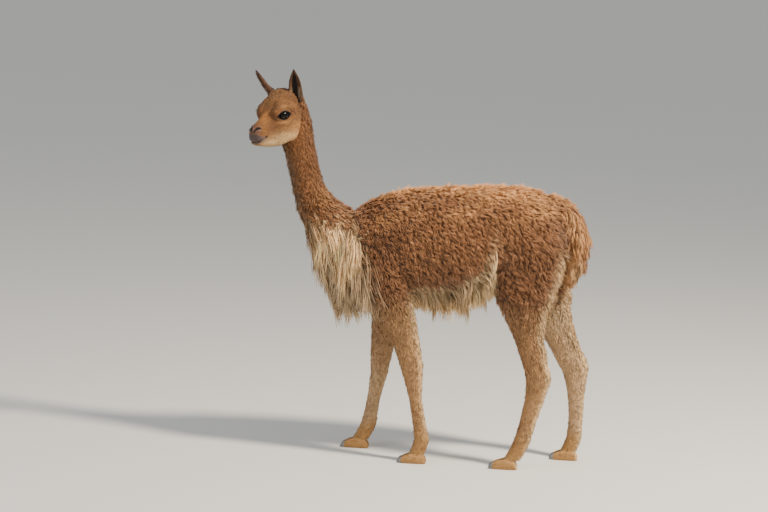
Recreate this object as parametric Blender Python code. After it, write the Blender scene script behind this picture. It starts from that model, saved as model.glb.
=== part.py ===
"""A standing vicuna as a still, life-size model, made of separate closed solids.

Metres, +Z up. The floor is z = 0. The animal faces -X, and its left side is towards -Y.
The origin is on the floor under the middle of its bounding box.
"""

import math
import random

import bmesh
import bpy
import numpy as np
from mathutils import Matrix, Vector
from mathutils.bvhtree import BVHTree

LEFT, RIGHT = -1, 1

# Gap that touching pieces keep.
GAP = 0.0003

# Wool and hair, from the skin out to the tips. The core of a woolly piece reaches half way.
CORE_SHARE = 0.5

# Trunk: x of the section, its top, its underside, its half width and the depth of its wool.
TRUNK = [
    (-0.292, 0.720, 0.640, 0.040, 0.020),
    (-0.262, 0.765, 0.585, 0.082, 0.022),
    (-0.205, 0.806, 0.540, 0.112, 0.024),
    (-0.130, 0.848, 0.512, 0.132, 0.026),
    (-0.050, 0.873, 0.504, 0.142, 0.026),
    (0.040, 0.885, 0.508, 0.150, 0.026),
    (0.130, 0.893, 0.522, 0.154, 0.026),
    (0.210, 0.898, 0.552, 0.150, 0.026),
    (0.280, 0.900, 0.590, 0.142, 0.026),
    (0.350, 0.896, 0.612, 0.132, 0.026),
    (0.405, 0.876, 0.632, 0.114, 0.026),
    (0.450, 0.848, 0.660, 0.086, 0.024),
    (0.482, 0.806, 0.700, 0.044, 0.022),
]
TRUNK_EGG = 0.10

# Neck: height of the section, x of its throat side, x of its nape side, y, half width, wool.
NECK = [
    (0.560, -0.275, -0.120, 0.000, 0.078, 0.022),
    (0.620, -0.312, -0.110, 0.000, 0.090, 0.022),
    (0.680, -0.341, -0.120, 0.000, 0.092, 0.020),
    (0.725, -0.362, -0.140, 0.000, 0.086, 0.018),
    (0.765, -0.386, -0.180, 0.000, 0.075, 0.016),
    (0.795, -0.399, -0.225, 0.000, 0.065, 0.015),
    (0.822, -0.407, -0.272, 0.000, 0.058, 0.014),
    (0.860, -0.418, -0.306, 0.000, 0.052, 0.013),
    (0.910, -0.431, -0.324, -0.001, 0.049, 0.012),
    (0.965, -0.446, -0.338, -0.003, 0.050, 0.012),
    (1.010, -0.463, -0.348, -0.006, 0.050, 0.011),
    (1.050, -0.474, -0.354, -0.009, 0.049, 0.010),
    (1.090, -0.470, -0.364, -0.011, 0.044, 0.009),
    (1.130, -0.458, -0.380, -0.014, 0.035, 0.007),
    (1.152, -0.446, -0.392, -0.014, 0.024, 0.006),
]

# Legs: height, x of the front edge, x of the back edge, y away from the middle, half width,
# depth of the hair, and 1 where that hair is wool.
FORELEG_NEAR = [
    (0.740, -0.150, -0.040, 0.060, 0.045, 0.026, 1),
    (0.680, -0.170, -0.012, 0.076, 0.054, 0.026, 1),
    (0.620, -0.165, -0.002, 0.084, 0.055, 0.024, 1),
    (0.560, -0.146, 0.002, 0.088, 0.051, 0.020, 1),
    (0.500, -0.121, 0.002, 0.091, 0.046, 0.012, 0),
    (0.437, -0.089, 0.016, 0.094, 0.040, 0.008, 0),
    (0.380, -0.062, 0.028, 0.095, 0.035, 0.007, 0),
    (0.325, -0.041, 0.039, 0.095, 0.033, 0.006, 0),
    (0.290, -0.029, 0.041, 0.095, 0.032, 0.005, 0),
    (0.250, -0.016, 0.041, 0.095, 0.028, 0.005, 0),
    (0.210, -0.004, 0.042, 0.095, 0.024, 0.004, 0),
    (0.143, 0.009, 0.055, 0.095, 0.022, 0.004, 0),
    (0.105, 0.016, 0.064, 0.095, 0.023, 0.004, 0),
    (0.078, 0.020, 0.069, 0.095, 0.026, 0.004, 0),
    (0.052, 0.014, 0.064, 0.095, 0.026, 0.004, 0),
    (0.030, 0.006, 0.058, 0.095, 0.024, 0.003, 0),
]
FORELEG_FAR = [
    (0.740, -0.150, -0.040, 0.060, 0.045, 0.026, 1),
    (0.680, -0.172, -0.020, 0.076, 0.054, 0.026, 1),
    (0.620, -0.170, -0.020, 0.084, 0.055, 0.024, 1),
    (0.560, -0.164, -0.026, 0.088, 0.051, 0.020, 1),
    (0.500, -0.154, -0.040, 0.091, 0.046, 0.012, 0),
    (0.443, -0.151, -0.052, 0.094, 0.040, 0.008, 0),
    (0.390, -0.150, -0.062, 0.095, 0.036, 0.007, 0),
    (0.333, -0.150, -0.073, 0.095, 0.033, 0.006, 0),
    (0.300, -0.149, -0.078, 0.095, 0.032, 0.005, 0),
    (0.258, -0.147, -0.087, 0.095, 0.029, 0.005, 0),
    (0.210, -0.151, -0.098, 0.095, 0.024, 0.004, 0),
    (0.157, -0.157, -0.110, 0.095, 0.022, 0.004, 0),
    (0.105, -0.165, -0.117, 0.095, 0.023, 0.004, 0),
    (0.078, -0.172, -0.120, 0.095, 0.026, 0.004, 0),
    (0.052, -0.184, -0.131, 0.095, 0.026, 0.004, 0),
    (0.030, -0.196, -0.142, 0.095, 0.024, 0.003, 0),
]
HINDLEG_NEAR = [
    (0.835, 0.300, 0.430, 0.050, 0.045, 0.026, 1),
    (0.770, 0.268, 0.462, 0.066, 0.062, 0.026, 1),
    (0.710, 0.256, 0.478, 0.076, 0.068, 0.026, 1),
    (0.650, 0.250, 0.474, 0.083, 0.068, 0.026, 1),
    (0.580, 0.250, 0.450, 0.089, 0.062, 0.022, 1),
    (0.520, 0.274, 0.431, 0.092, 0.054, 0.014, 1),
    (0.470, 0.300, 0.420, 0.094, 0.046, 0.010, 0),
    (0.430, 0.318, 0.418, 0.096, 0.040, 0.009, 0),
    (0.390, 0.335, 0.427, 0.098, 0.036, 0.008, 0),
    (0.345, 0.352, 0.438, 0.100, 0.034, 0.007, 0),
    (0.300, 0.365, 0.451, 0.100, 0.033, 0.006, 0),
    (0.262, 0.369, 0.443, 0.100, 0.031, 0.005, 0),
    (0.209, 0.364, 0.427, 0.100, 0.027, 0.004, 0),
    (0.156, 0.354, 0.411, 0.100, 0.025, 0.004, 0),
    (0.105, 0.343, 0.398, 0.100, 0.025, 0.004, 0),
    (0.078, 0.334, 0.389, 0.100, 0.026, 0.004, 0),
    (0.052, 0.322, 0.377, 0.100, 0.026, 0.004, 0),
    (0.030, 0.310, 0.365, 0.100, 0.024, 0.003, 0),
]
HINDLEG_FAR = [
    (0.835, 0.300, 0.430, 0.050, 0.045, 0.026, 1),
    (0.770, 0.272, 0.466, 0.066, 0.062, 0.026, 1),
    (0.710, 0.270, 0.486, 0.076, 0.068, 0.026, 1),
    (0.650, 0.276, 0.494, 0.083, 0.068, 0.026, 1),
    (0.580, 0.298, 0.497, 0.089, 0.062, 0.022, 1),
    (0.520, 0.330, 0.497, 0.092, 0.054, 0.014, 1),
    (0.470, 0.362, 0.502, 0.094, 0.046, 0.010, 0),
    (0.430, 0.392, 0.513, 0.096, 0.040, 0.009, 0),
    (0.394, 0.419, 0.527, 0.098, 0.036, 0.008, 0),
    (0.355, 0.442, 0.546, 0.100, 0.034, 0.007, 0),
    (0.318, 0.463, 0.567, 0.100, 0.033, 0.006, 0),
    (0.280, 0.484, 0.565, 0.100, 0.032, 0.005, 0),
    (0.245, 0.494, 0.561, 0.100, 0.029, 0.005, 0),
    (0.209, 0.502, 0.559, 0.100, 0.026, 0.004, 0),
    (0.150, 0.508, 0.558, 0.100, 0.025, 0.004, 0),
    (0.105, 0.508, 0.556, 0.100, 0.025, 0.004, 0),
    (0.078, 0.506, 0.556, 0.100, 0.026, 0.004, 0),
    (0.052, 0.498, 0.550, 0.100, 0.026, 0.004, 0),
    (0.030, 0.488, 0.542, 0.100, 0.024, 0.003, 0),
]
LEGS = {
    "foreleg_left": (FORELEG_NEAR, LEFT),
    "foreleg_right": (FORELEG_FAR, RIGHT),
    "hindleg_left": (HINDLEG_NEAR, LEFT),
    "hindleg_right": (HINDLEG_FAR, RIGHT),
}
ELBOW_CUT = 0.488
GROIN_CUT = 0.520
FETLOCK_CUT = 0.078

# Feet: x of the heel and y of each foot; the two toes lie side by side and point to -X.
FOOT_LENGTH = 0.084
FOOT_HEIGHT = 0.033
TOE_HALF_WIDTH = 0.0135
TOE_APART = 0.0145
NAIL_LENGTH = 0.016
NAIL_HEIGHT = 0.017
HEELS = {
    "fore_left": (0.062, -0.095),
    "fore_right": (-0.142, 0.095),
    "hind_left": (0.356, -0.100),
    "hind_right": (0.546, 0.100),
}

# Tail: x, z, half width and half thickness of its core, from its root to its end.
TAIL = [
    (0.400, 0.850, 0.030, 0.024),
    (0.452, 0.828, 0.036, 0.028),
    (0.488, 0.784, 0.042, 0.032),
    (0.504, 0.730, 0.042, 0.034),
    (0.503, 0.684, 0.036, 0.028),
    (0.495, 0.646, 0.028, 0.022),
    (0.488, 0.618, 0.016, 0.014),
]

# Head, in its own frame: distance ahead of the occiput, top, underside, half width.
# Heights are above the underside of the jaw.
HEAD_AT = Vector((-0.420, -0.004, 0.987))
HEAD_TURN = 56.0
SKULL = [
    (0.002, 0.142, 0.090, 0.024),
    (0.014, 0.170, 0.050, 0.044),
    (0.036, 0.186, 0.026, 0.055),
    (0.062, 0.190, 0.013, 0.058),
    (0.086, 0.181, 0.007, 0.056),
    (0.106, 0.160, 0.005, 0.048),
    (0.124, 0.132, 0.005, 0.038),
    (0.140, 0.108, 0.006, 0.0305),
    (0.156, 0.093, 0.008, 0.0265),
    (0.172, 0.082, 0.011, 0.0255),
    (0.185, 0.073, 0.022, 0.0215),
    (0.192, 0.061, 0.037, 0.0120),
]
# How far the sections of the head fill out towards a rectangle: 1 is an ellipse.
HEAD_FULL = 0.82
# Swellings fused into the skull: ahead, side, height, then half length, half width, half height.
SKULL_SWELLINGS = [
    (0.095, 0.032, 0.112, 0.040, 0.024, 0.035),
    (0.056, 0.031, 0.062, 0.038, 0.026, 0.038),
    (0.030, 0.036, 0.132, 0.022, 0.018, 0.022),
    (0.172, 0.009, 0.053, 0.022, 0.018, 0.022),
    (0.164, 0.008, 0.021, 0.019, 0.014, 0.012),
]
NOSTRIL = (0.1860, 0.0135, 0.0640)
NOSTRIL_SIZE = (0.0050, 0.0085, 0.0030)
MOUTH_FRONT = (0.194, 0.033)
MOUTH_CORNER = (0.143, 0.045)
MOUTH_SIDE = 0.0285
MOUTH_DEPTH = 0.007
MOUTH_GAPE = 0.0026
EYE_RADIUS = 0.0205
EYE_FACETS = (12, 8)
EYE_AT = (0.096, 0.0365, 0.109)
EYE_TURN_FORWARD = 26.0
LID_THICKNESS = 0.0026
LID_OPENING = (0.0200, 0.0142)

# Ears: where each stands (ahead, side, height), and how far it leans ahead and outwards.
EAR_LENGTH = 0.110
EARS = {
    "ear_left": ((0.034, 0.040, 0.142), (0.30, 0.10)),
    "ear_right": ((0.042, 0.043, 0.150), (0.55, 0.70)),
}
EAR_FACING = 42.0
EAR_BEND = 0.10
EAR_WALL = 0.0026
# Share of the ear's length, half width and half depth.
EAR = [
    (-0.10, 0.0120, 0.0120),
    (0.06, 0.0165, 0.0130),
    (0.20, 0.0200, 0.0125),
    (0.40, 0.0215, 0.0110),
    (0.60, 0.0195, 0.0090),
    (0.78, 0.0145, 0.0065),
    (0.92, 0.0075, 0.0042),
    (1.00, 0.0030, 0.0025),
]

# Where pieces part: heights of the cuts through the legs, and the planes in front of the trunk.
CHEST_CUT = -0.150
NECK_CUT_NAPE = (-0.225, 0.852)
NECK_CUT_THROAT = (-0.410, 0.745)
HIND_START = 0.160

# Set-off that brings the middle of the bounding box to the origin.
CENTRING = Vector((-0.0105, 0.005, 0.0))

# Skin meshes: voxel size, smoothing rounds and triangles.
BODY_MESH = (0.007, 6, 2200)
FOOT_MESH = (0.0035, 4, 150)
HEAD_MESH = (0.0035, 16, 760)
TAIL_MESH = (0.006, 4, 130)

# Wool clumps: distance between them, and half length, half width and half height of one.
FLEECE_APART = 0.063
FLEECE_SIZE = (0.072, 0.046, 0.018)
NECK_APART = 0.042
NECK_CLUMP = (0.044, 0.026, 0.011)
CLUMP_FACETS = (7, 4)
# Share of the triangles that a fused coat keeps once the slivers of its joints are gone.
COAT_KEEPS = 0.64
CLUMP_TILT = 0.19
CLUMP_SINK = 0.30
CLUMP_VARIES = 0.14
# Where the fleece of trunk and thighs ends below: up to each x, its lowest height.
FLEECE_FLOOR = ((0.020, 0.575), (0.250, 0.600), (1.000, 0.555))
FLEECE_REAR = 0.495
THIGH_INSIDE = (0.085, 0.620)
UNDER_TAIL = (0.055, 0.430)
SHOULDER_FLOOR = 0.580
NECK_TOP = 1.100
# How steep the skin may face down and still carry fleece.
UNDERSIDE = -0.35

# A lock: its sections from root to tip with their share of its width, and the root's depth.
LOCK_SECTIONS = ((0.0, 0.70), (0.25, 1.0), (0.55, 0.85), (0.82, 0.48))
LOCK_ROOT = 0.012
# How far a coat is grown past a cut before the cut trims it.
ROOM = 0.06

# Bib: the hair of the chest, in rows from its top to the brisket.
BIB_TOP = 0.742
BIB_LOW = 0.555
BIB_TIP = 0.440
BIB_REAR = -0.195
BIB_REAR_HIT = -0.140
BIB_ROWS = 7
BIB_ACROSS = 8
BIB_SPREAD = 100.0
BIB_LENGTH = 0.150
BIB_SHORTEST = 0.060
BIB_TIP_RISE = 0.5
BIB_LOOK_DOWN = 0.25
BIB_SWEEP = 0.30
BIB_LOCK = (0.019, 0.010)
BIB_AXIS_TOP = -0.255
BIB_AXIS_LOW = -0.205

# Belly fringe: directions of its rows from straight down, and its run along the belly.
BELLY_LOCK = (0.027, 0.012)
BELLY_ANGLES = (12.0, 33.0, 55.0)
BELLY_ALONG = 8
BELLY_START = -0.030
BELLY_END = 0.245
BELLY_TIP = 0.470
BELLY_HALF_WIDTH = 0.125
BELLY_RISE = 0.28
BELLY_AXIS = 0.700
BELLY_LOW = 0.500
BELLY_DEEPEST = 0.45
BELLY_SHORTEST = 0.045
BELLY_SWEEP = 0.22
BELLY_TURN = 0.70

# Hair of the tail: half width and thickness of a lock, its length and the rows' places.
TAIL_LOCK = (0.018, 0.009)
TAIL_HAIR = 0.085
TAIL_TOP = 0.790
TAIL_LOW = 0.655
TAIL_AXIS = 0.492
TAIL_SPREAD = 120.0
TAIL_ROWS = 4
TAIL_AROUND = 5


def clear_scene():
    """Removes every object that the file starts with."""
    for thing in list(bpy.data.objects):
        bpy.data.objects.remove(thing, do_unlink=True)


def material(name, colour, roughness):
    """A plain finish for a solid."""
    made = bpy.data.materials.new(name)
    made.use_nodes = True
    shader = made.node_tree.nodes["Principled BSDF"]
    shader.inputs["Base Color"].default_value = (*colour, 1.0)
    shader.inputs["Roughness"].default_value = roughness
    shader.inputs["Metallic"].default_value = 0.0
    return made


def object_from(bm, name):
    """A new object that holds a bmesh, with its faces turned outwards."""
    bmesh.ops.recalc_face_normals(bm, faces=bm.faces)
    mesh = bpy.data.meshes.new(name)
    bm.to_mesh(mesh)
    bm.free()
    thing = bpy.data.objects.new(name, mesh)
    bpy.context.scene.collection.objects.link(thing)
    return thing


def bake_modifiers(thing):
    """Replaces an object's mesh by what its modifiers make of it."""
    bpy.context.view_layer.update()
    graph = bpy.context.evaluated_depsgraph_get()
    mesh = bpy.data.meshes.new_from_object(thing.evaluated_get(graph))
    thing.modifiers.clear()
    thing.data = mesh
    return thing


def remove(thing):
    """Deletes a helper object."""
    bpy.data.objects.remove(thing, do_unlink=True)


def resampled(stations, step):
    """Stations on a smooth curve through the given ones, about a step apart."""
    given = np.array(stations, float)
    rows = []
    for i in range(len(given) - 1):
        before = given[max(i - 1, 0)]
        start, end = given[i], given[i + 1]
        after = given[min(i + 2, len(given) - 1)]
        parts = max(1, round(np.abs(end - start)[:2].max() / step))
        for k in range(parts):
            t = k / parts
            rows.append(
                0.5
                * (
                    2 * start
                    + (end - before) * t
                    + (2 * before - 5 * start + 4 * end - after) * t**2
                    + (3 * start - before - 3 * end + after) * t**3
                )
            )
    rows.append(given[-1])
    return rows


def add_ring(bm, centre, across, up, sides, egg=0.0, full=1.0, end=False):
    """One oval section: across and up are its half axes.

    A positive egg narrows its top, and a full under 1 fills its corners.
    """
    made = bmesh.ops.create_circle(bm, cap_ends=end, segments=sides, radius=1.0)
    for vert in made["verts"]:
        c, s = (math.copysign(abs(q) ** full, q) for q in (vert.co.x, vert.co.y))
        vert.co = centre + across * (c * (1 - egg * s)) + up * s
    around = set(made["verts"])
    return [e for e in bm.edges if e.verts[0] in around and e.verts[1] in around]


def loft(name, rings, sides=24, egg=0.0, full=1.0):
    """A closed tube through sections, each given as its centre and its two half axes."""
    bm = bmesh.new()
    last = None
    for i, (centre, across, up) in enumerate(rings):
        edges = add_ring(bm, centre, across, up, sides, egg, full, i in (0, len(rings) - 1))
        if last:
            bmesh.ops.bridge_loops(bm, edges=last + edges)
        last = edges
    bmesh.ops.triangulate(bm, faces=[f for f in bm.faces if len(f.verts) > 4])
    return object_from(bm, name)


def trunk_loft():
    """The trunk, its sections standing across X."""
    rings = []
    for x, top, bottom, half_width, wool in resampled(TRUNK, 0.02):
        inset = wool * CORE_SHARE
        half_height = (top - bottom) / 2 - inset
        rings.append(
            (
                Vector((x, 0, (top + bottom) / 2)),
                Vector((0, half_width - inset, 0)),
                Vector((0, 0, half_height)),
            )
        )
    return loft("trunk", rings, 32, TRUNK_EGG)


def neck_loft():
    """The neck and the front of the chest, its sections lying flat."""
    rings = []
    for z, front, back, y, half_width, wool in resampled(NECK, 0.015):
        inset = wool * CORE_SHARE
        rings.append(
            (
                Vector(((front + back) / 2, y, z)),
                Vector(((back - front) / 2 - inset, 0, 0)),
                Vector((0, half_width - inset, 0)),
            )
        )
    return loft("neck", rings, 24)


def leg_loft(name, stations, side):
    """One leg, its sections lying flat."""
    rings = []
    for z, front, back, y, half_width, hair, wool in resampled(stations, 0.012):
        inset = hair * wool * CORE_SHARE
        rings.append(
            (
                Vector(((front + back) / 2, side * y, z)),
                Vector(((back - front) / 2 - inset, 0, 0)),
                Vector((0, half_width - inset, 0)),
            )
        )
    return loft(name, rings, 16)


def joined(things, name):
    """Several closed meshes in one object, still overlapping."""
    bm = bmesh.new()
    for thing in things:
        bm.from_mesh(thing.data)
        remove(thing)
    return object_from(bm, name)


def fused(thing, voxel, rounds, ratio_faces):
    """One smooth closed skin over overlapping closed meshes, with about this many triangles."""
    remesh = thing.modifiers.new("skin", "REMESH")
    remesh.mode = "VOXEL"
    remesh.voxel_size = voxel
    smooth = thing.modifiers.new("smooth", "SMOOTH")
    smooth.factor = 0.5
    smooth.iterations = rounds
    bake_modifiers(thing)
    thinner = thing.modifiers.new("fewer", "DECIMATE")
    thinner.ratio = min(1.0, ratio_faces / (2 * len(thing.data.polygons)))
    bake_modifiers(thing)
    return thing


def box(name, low, high):
    """A box between two corners."""
    bm = bmesh.new()
    low, high = Vector(low), Vector(high)
    size = high - low
    place = Matrix.Translation((low + high) / 2) @ Matrix.Diagonal((*size, 1.0))
    bmesh.ops.create_cube(bm, size=1.0, matrix=place)
    return object_from(bm, name)


def beyond_neck_cut(name, gap):
    """A box that holds all above the slanted cut between neck and chest, less a gap."""
    nape, throat = Vector(NECK_CUT_NAPE), Vector(NECK_CUT_THROAT)
    middle = (nape + throat) / 2
    slope = math.atan2(nape.y - throat.y, nape.x - throat.x)
    size = 2.0
    bm = bmesh.new()
    place = (
        Matrix.Translation((middle.x, 0, middle.y))
        @ Matrix.Rotation(-slope, 4, "Y")
        @ Matrix.Translation((0, 0, size / 2 + gap))
    )
    bmesh.ops.create_cube(bm, size=size, matrix=place)
    return object_from(bm, name)


def copied(thing, name):
    """A copy of an object with a mesh of its own."""
    made = bpy.data.objects.new(name, thing.data.copy())
    bpy.context.scene.collection.objects.link(made)
    return made


def boolean(thing, other, operation, solver="EXACT"):
    """Applies one Boolean with another object, which is kept."""
    cut = thing.modifiers.new("cut", "BOOLEAN")
    cut.operation = operation
    cut.object = other
    cut.solver = solver
    return bake_modifiers(thing)


def grown(thing, by):
    """A copy of an object with its surface moved outwards."""
    bm = bmesh.new()
    bm.from_mesh(thing.data)
    bm.normal_update()
    moves = [(v, v.normal.copy()) for v in bm.verts]
    for vert, normal in moves:
        vert.co += normal * by
    return object_from(bm, thing.name + "_grown")


def largest_only(thing):
    """Keeps an object's largest closed surface."""
    bm = bmesh.new()
    bm.from_mesh(thing.data)
    left = set(bm.verts)
    groups = []
    while left:
        seed = left.pop()
        group, edge_of = {seed}, [seed]
        while edge_of:
            vert = edge_of.pop()
            for edge in vert.link_edges:
                other = edge.other_vert(vert)
                if other not in group:
                    group.add(other)
                    edge_of.append(other)
        left -= group
        groups.append(group)
    groups.sort(key=len)
    for group in groups[:-1]:
        bmesh.ops.delete(bm, geom=list(group), context="VERTS")
    bm.to_mesh(thing.data)
    bm.free()
    return thing


def cleared_of(thing, others, solver="EXACT"):
    """Cuts an object back from others so that the gap is left."""
    for other in others:
        cutter = grown(other, GAP)
        boolean(thing, cutter, "DIFFERENCE", solver)
        remove(cutter)
    return largest_only(thing)


def body_parts():
    """The trunk, neck and four legs as overlapping tubes, joined in one smooth skin."""
    pieces = [trunk_loft(), neck_loft()]
    pieces += [leg_loft(name, stations, side) for name, (stations, side) in LEGS.items()]
    return fused(joined(pieces, "body"), *BODY_MESH)


def tail_core():
    """The tail as a tube that follows its bend."""
    rows = resampled(TAIL, 0.015)
    rings = []
    for i, (x, z, wide, thick) in enumerate(rows):
        before, after = rows[max(i - 1, 0)], rows[min(i + 1, len(rows) - 1)]
        along = Vector((after[0] - before[0], 0, after[1] - before[1])).normalized()
        across = Vector((0, 1, 0)).cross(along)
        rings.append((Vector((x, 0, z)), Vector((0, wide, 0)), across * thick))
    return fused(loft("tail", rings, 20), *TAIL_MESH)


def ellipsoid(name, centre, half_axes, facets=(24, 14)):
    """A sphere stretched to three half axes."""
    bm = bmesh.new()
    place = Matrix.Translation(centre) @ Matrix.Diagonal((*half_axes, 1.0))
    bmesh.ops.create_uvsphere(bm, u_segments=facets[0], v_segments=facets[1], radius=1.0, matrix=place)
    return object_from(bm, name)


def head_frame():
    """The head's place: its X runs ahead along the muzzle, and its Y to the animal's left."""
    turn = Matrix.Rotation(math.radians(180.0 + HEAD_TURN), 4, "Z")
    return Matrix.Translation(HEAD_AT) @ turn


def eye_frame(side):
    """The place of an eye in the head's frame: its X looks out of the head."""
    ahead, out, height = EYE_AT
    angle = math.radians(90.0 - EYE_TURN_FORWARD) * -side
    return Matrix.Translation((ahead, -side * out, height)) @ Matrix.Rotation(angle, 4, "Z")


def moved(thing, matrix):
    """Moves an object's mesh."""
    thing.data.transform(matrix)
    return thing


def almond(name, side):
    """The cutter of the gap between the lids: a lens shape, pushed in from outside the eye."""
    half_length, half_height = LID_OPENING
    steps = 10
    rim = []
    for k in range(2 * steps):
        turn = math.pi * k / steps
        c, s = math.cos(turn), math.sin(turn)
        lens = abs(s) ** 1.25 * (1 if s >= 0 else -1)
        rim.append((half_length * c, half_height * lens))
    bm = bmesh.new()
    inner = EYE_RADIUS * 0.45
    outer = EYE_RADIUS * 2.4
    near = [bm.verts.new((inner, a, b)) for a, b in rim]
    face = bm.faces.new(near)
    made = bmesh.ops.extrude_face_region(bm, geom=[face])
    verts = [g for g in made["geom"] if isinstance(g, bmesh.types.BMVert)]
    bmesh.ops.translate(bm, verts=verts, vec=(outer - inner, 0, 0))
    return moved(object_from(bm, name), eye_frame(side))


def mouth_cutter():
    """A thin wedge that follows the lips round the muzzle, from corner to corner."""
    bm = bmesh.new()
    steps = 10
    last = None
    for k in range(-steps, steps + 1):
        turn = math.radians(90.0 * k / steps)
        c, t = abs(math.cos(turn)) ** 0.7, math.sin(turn)
        ahead = MOUTH_CORNER[0] + (MOUTH_FRONT[0] - MOUTH_CORNER[0]) * c
        height = MOUTH_CORNER[1] + (MOUTH_FRONT[1] - MOUTH_CORNER[1]) * c
        place = Vector((ahead, MOUTH_SIDE * math.copysign(abs(t) ** 0.8, t), height))
        out = Vector((c, t, 0)).normalized()
        rim = place + out * MOUTH_DEPTH
        gape = Vector((0, 0, MOUTH_GAPE * (0.4 + 0.6 * c)))
        row = [bm.verts.new(q) for q in (place - out * MOUTH_DEPTH, rim + gape, rim - gape)]
        if last:
            for i in range(3):
                bm.faces.new((last[i], last[(i + 1) % 3], row[(i + 1) % 3], row[i]))
        else:
            bm.faces.new(row)
        last = row
    bm.faces.new(last)
    bmesh.ops.triangulate(bm, faces=bm.faces)
    return object_from(bm, "mouth_cutter")


def head_solid():
    """The head, with eye sockets, lids, nostrils and the line of the mouth, and its bare form."""
    rings = [
        (
            Vector((a, 0, (top + low) / 2)),
            Vector((0, wide, 0)),
            Vector((0, 0, (top - low) / 2)),
        )
        for a, top, low, wide in resampled(SKULL, 0.008)
    ]
    pieces = [loft("head", rings, 28, 0.05, HEAD_FULL)]
    for a, s, h, long, wide, high in SKULL_SWELLINGS:
        for side in (LEFT, RIGHT):
            pieces.append(ellipsoid("swelling", (a, side * s, h), (long, wide, high)))
    head = fused(joined(pieces, "head"), *HEAD_MESH)
    skull = moved(copied(head, "skull"), head_frame())
    lid_radius = EYE_RADIUS + GAP + LID_THICKNESS
    cutters = []
    for side in (LEFT, RIGHT):
        frame = eye_frame(side)
        lids = moved(ellipsoid("lids", (0, 0, 0), (lid_radius,) * 3, EYE_FACETS), frame)
        boolean(head, lids, "UNION")
        remove(lids)
        socket = EYE_RADIUS + GAP
        cutters.append(moved(ellipsoid("socket", (0, 0, 0), (socket,) * 3, EYE_FACETS), frame))
        cutters.append(almond("lid_opening", side))
        ahead, out, height = NOSTRIL
        nostril = ellipsoid("nostril", (0, 0, 0), NOSTRIL_SIZE, (8, 6))
        tilt = Matrix.Rotation(math.radians(-side * 50.0), 4, "Z")
        slant = Matrix.Rotation(math.radians(-side * 25.0), 4, "X")
        moved(nostril, Matrix.Translation((ahead, -side * out, height)) @ tilt @ slant)
        cutters.append(nostril)
    cutters.append(mouth_cutter())
    for cutter in cutters:
        boolean(head, cutter, "DIFFERENCE")
        remove(cutter)
    return moved(largest_only(head), head_frame()), skull


def eye_solid(name, side):
    """One eyeball."""
    ball = ellipsoid(name, (0, 0, 0), (EYE_RADIUS,) * 3, EYE_FACETS)
    return moved(ball, head_frame() @ eye_frame(side))


def ear_solid(name, side, skull):
    """One ear: a leaf whose front is hollowed to a cup, standing on the head."""
    root, (ahead_lean, out_lean) = EARS[name]
    axis = Vector((ahead_lean, -side * out_lean, 1.0)).normalized()
    facing = math.radians(EAR_FACING)
    front = Vector((math.cos(facing), -side * math.sin(facing), 0.0))
    front = (front - axis * front.dot(axis)).normalized()
    across = axis.cross(front)
    root = Vector((root[0], -side * root[1], root[2]))
    outside, inside = [], []
    for share, wide, deep in EAR:
        bend = EAR_BEND * share * share * EAR_LENGTH
        centre = root + axis * (share * EAR_LENGTH) - front * bend
        outside.append((centre, across * wide, front * deep))
        if share >= 0.05:
            wide_in = max(wide - EAR_WALL, 0.0008)
            deep_in = deep * 1.15
            centre_in = centre + front * (deep_in - deep + EAR_WALL * 1.3)
            inside.append((centre_in, across * wide_in, front * deep_in))
    ear = loft(name, outside, 12)
    cup = loft("cup", inside, 12)
    boolean(ear, cup, "DIFFERENCE")
    remove(cup)
    return cleared_of(moved(ear, head_frame()), [skull], "MANIFOLD")


def foot_solids(name, leg_name):
    """A foot with its flat sole and two toes, and the nail at the end of each toe."""
    heel_x, heel_y = HEELS[name]
    stations, side = LEGS[leg_name]
    low = [row for row in stations if row[0] <= 0.11]
    pieces = [leg_loft("pastern", low, side)]
    nails = []
    for toe, apart in (("inner", 1), ("outer", -1)):
        y = heel_y + math.copysign(TOE_APART, heel_y) * -apart
        tip = heel_x - FOOT_LENGTH
        rings = []
        for t, wide, high in (
            (0.0, 0.45, 0.45),
            (0.10, 0.85, 0.78),
            (0.35, 1.0, 1.0),
            (0.65, 0.98, 0.90),
            (0.88, 0.80, 0.66),
            (1.0, 0.45, 0.40),
        ):
            splay = math.copysign(0.003, y - heel_y) * t
            centre = Vector((heel_x - FOOT_LENGTH * t, y + splay, FOOT_HEIGHT * 0.36 * high))
            rings.append(
                (
                    centre,
                    Vector((0, TOE_HALF_WIDTH * wide, 0)),
                    Vector((0, 0, FOOT_HEIGHT * 0.62 * high)),
                )
            )
        pieces.append(loft("toe", rings, 16))
        nails.append(nail_solid(f"nail_{name}_{toe}", tip, y + math.copysign(0.003, y - heel_y)))
    foot = fused(joined(pieces, f"foot_{name}"), *FOOT_MESH)
    x_low, x_high = heel_x - 0.2, heel_x + 0.2
    keep = box("keep", (x_low, heel_y - 0.1, 0.0), (x_high, heel_y + 0.1, FETLOCK_CUT - GAP / 2))
    boolean(foot, keep, "INTERSECT")
    remove(keep)
    return cleared_of(foot, nails), nails


def nail_solid(name, tip, y):
    """One nail: a short horn wedge on the end of a toe, clear of the floor."""
    bm = bmesh.new()
    rings = ((0.0, 1.0), (0.55, 0.82), (1.0, 0.30))
    last = None
    for t, size in rings:
        x = tip + NAIL_LENGTH * (0.45 - t)
        rim = []
        for k in range(8):
            turn = math.pi * k / 7
            rim.append(
                bm.verts.new(
                    (
                        x,
                        y + 0.0088 * size * math.cos(turn),
                        0.0012 + NAIL_HEIGHT * size * math.sin(turn),
                    )
                )
            )
        if last:
            for k in range(8):
                bm.faces.new((last[k], last[(k + 1) % 8], rim[(k + 1) % 8], rim[k]))
        else:
            bm.faces.new(rim)
        last = rim
    bm.faces.new(last)
    bmesh.ops.triangulate(bm, faces=bm.faces)
    return object_from(bm, name)


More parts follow.
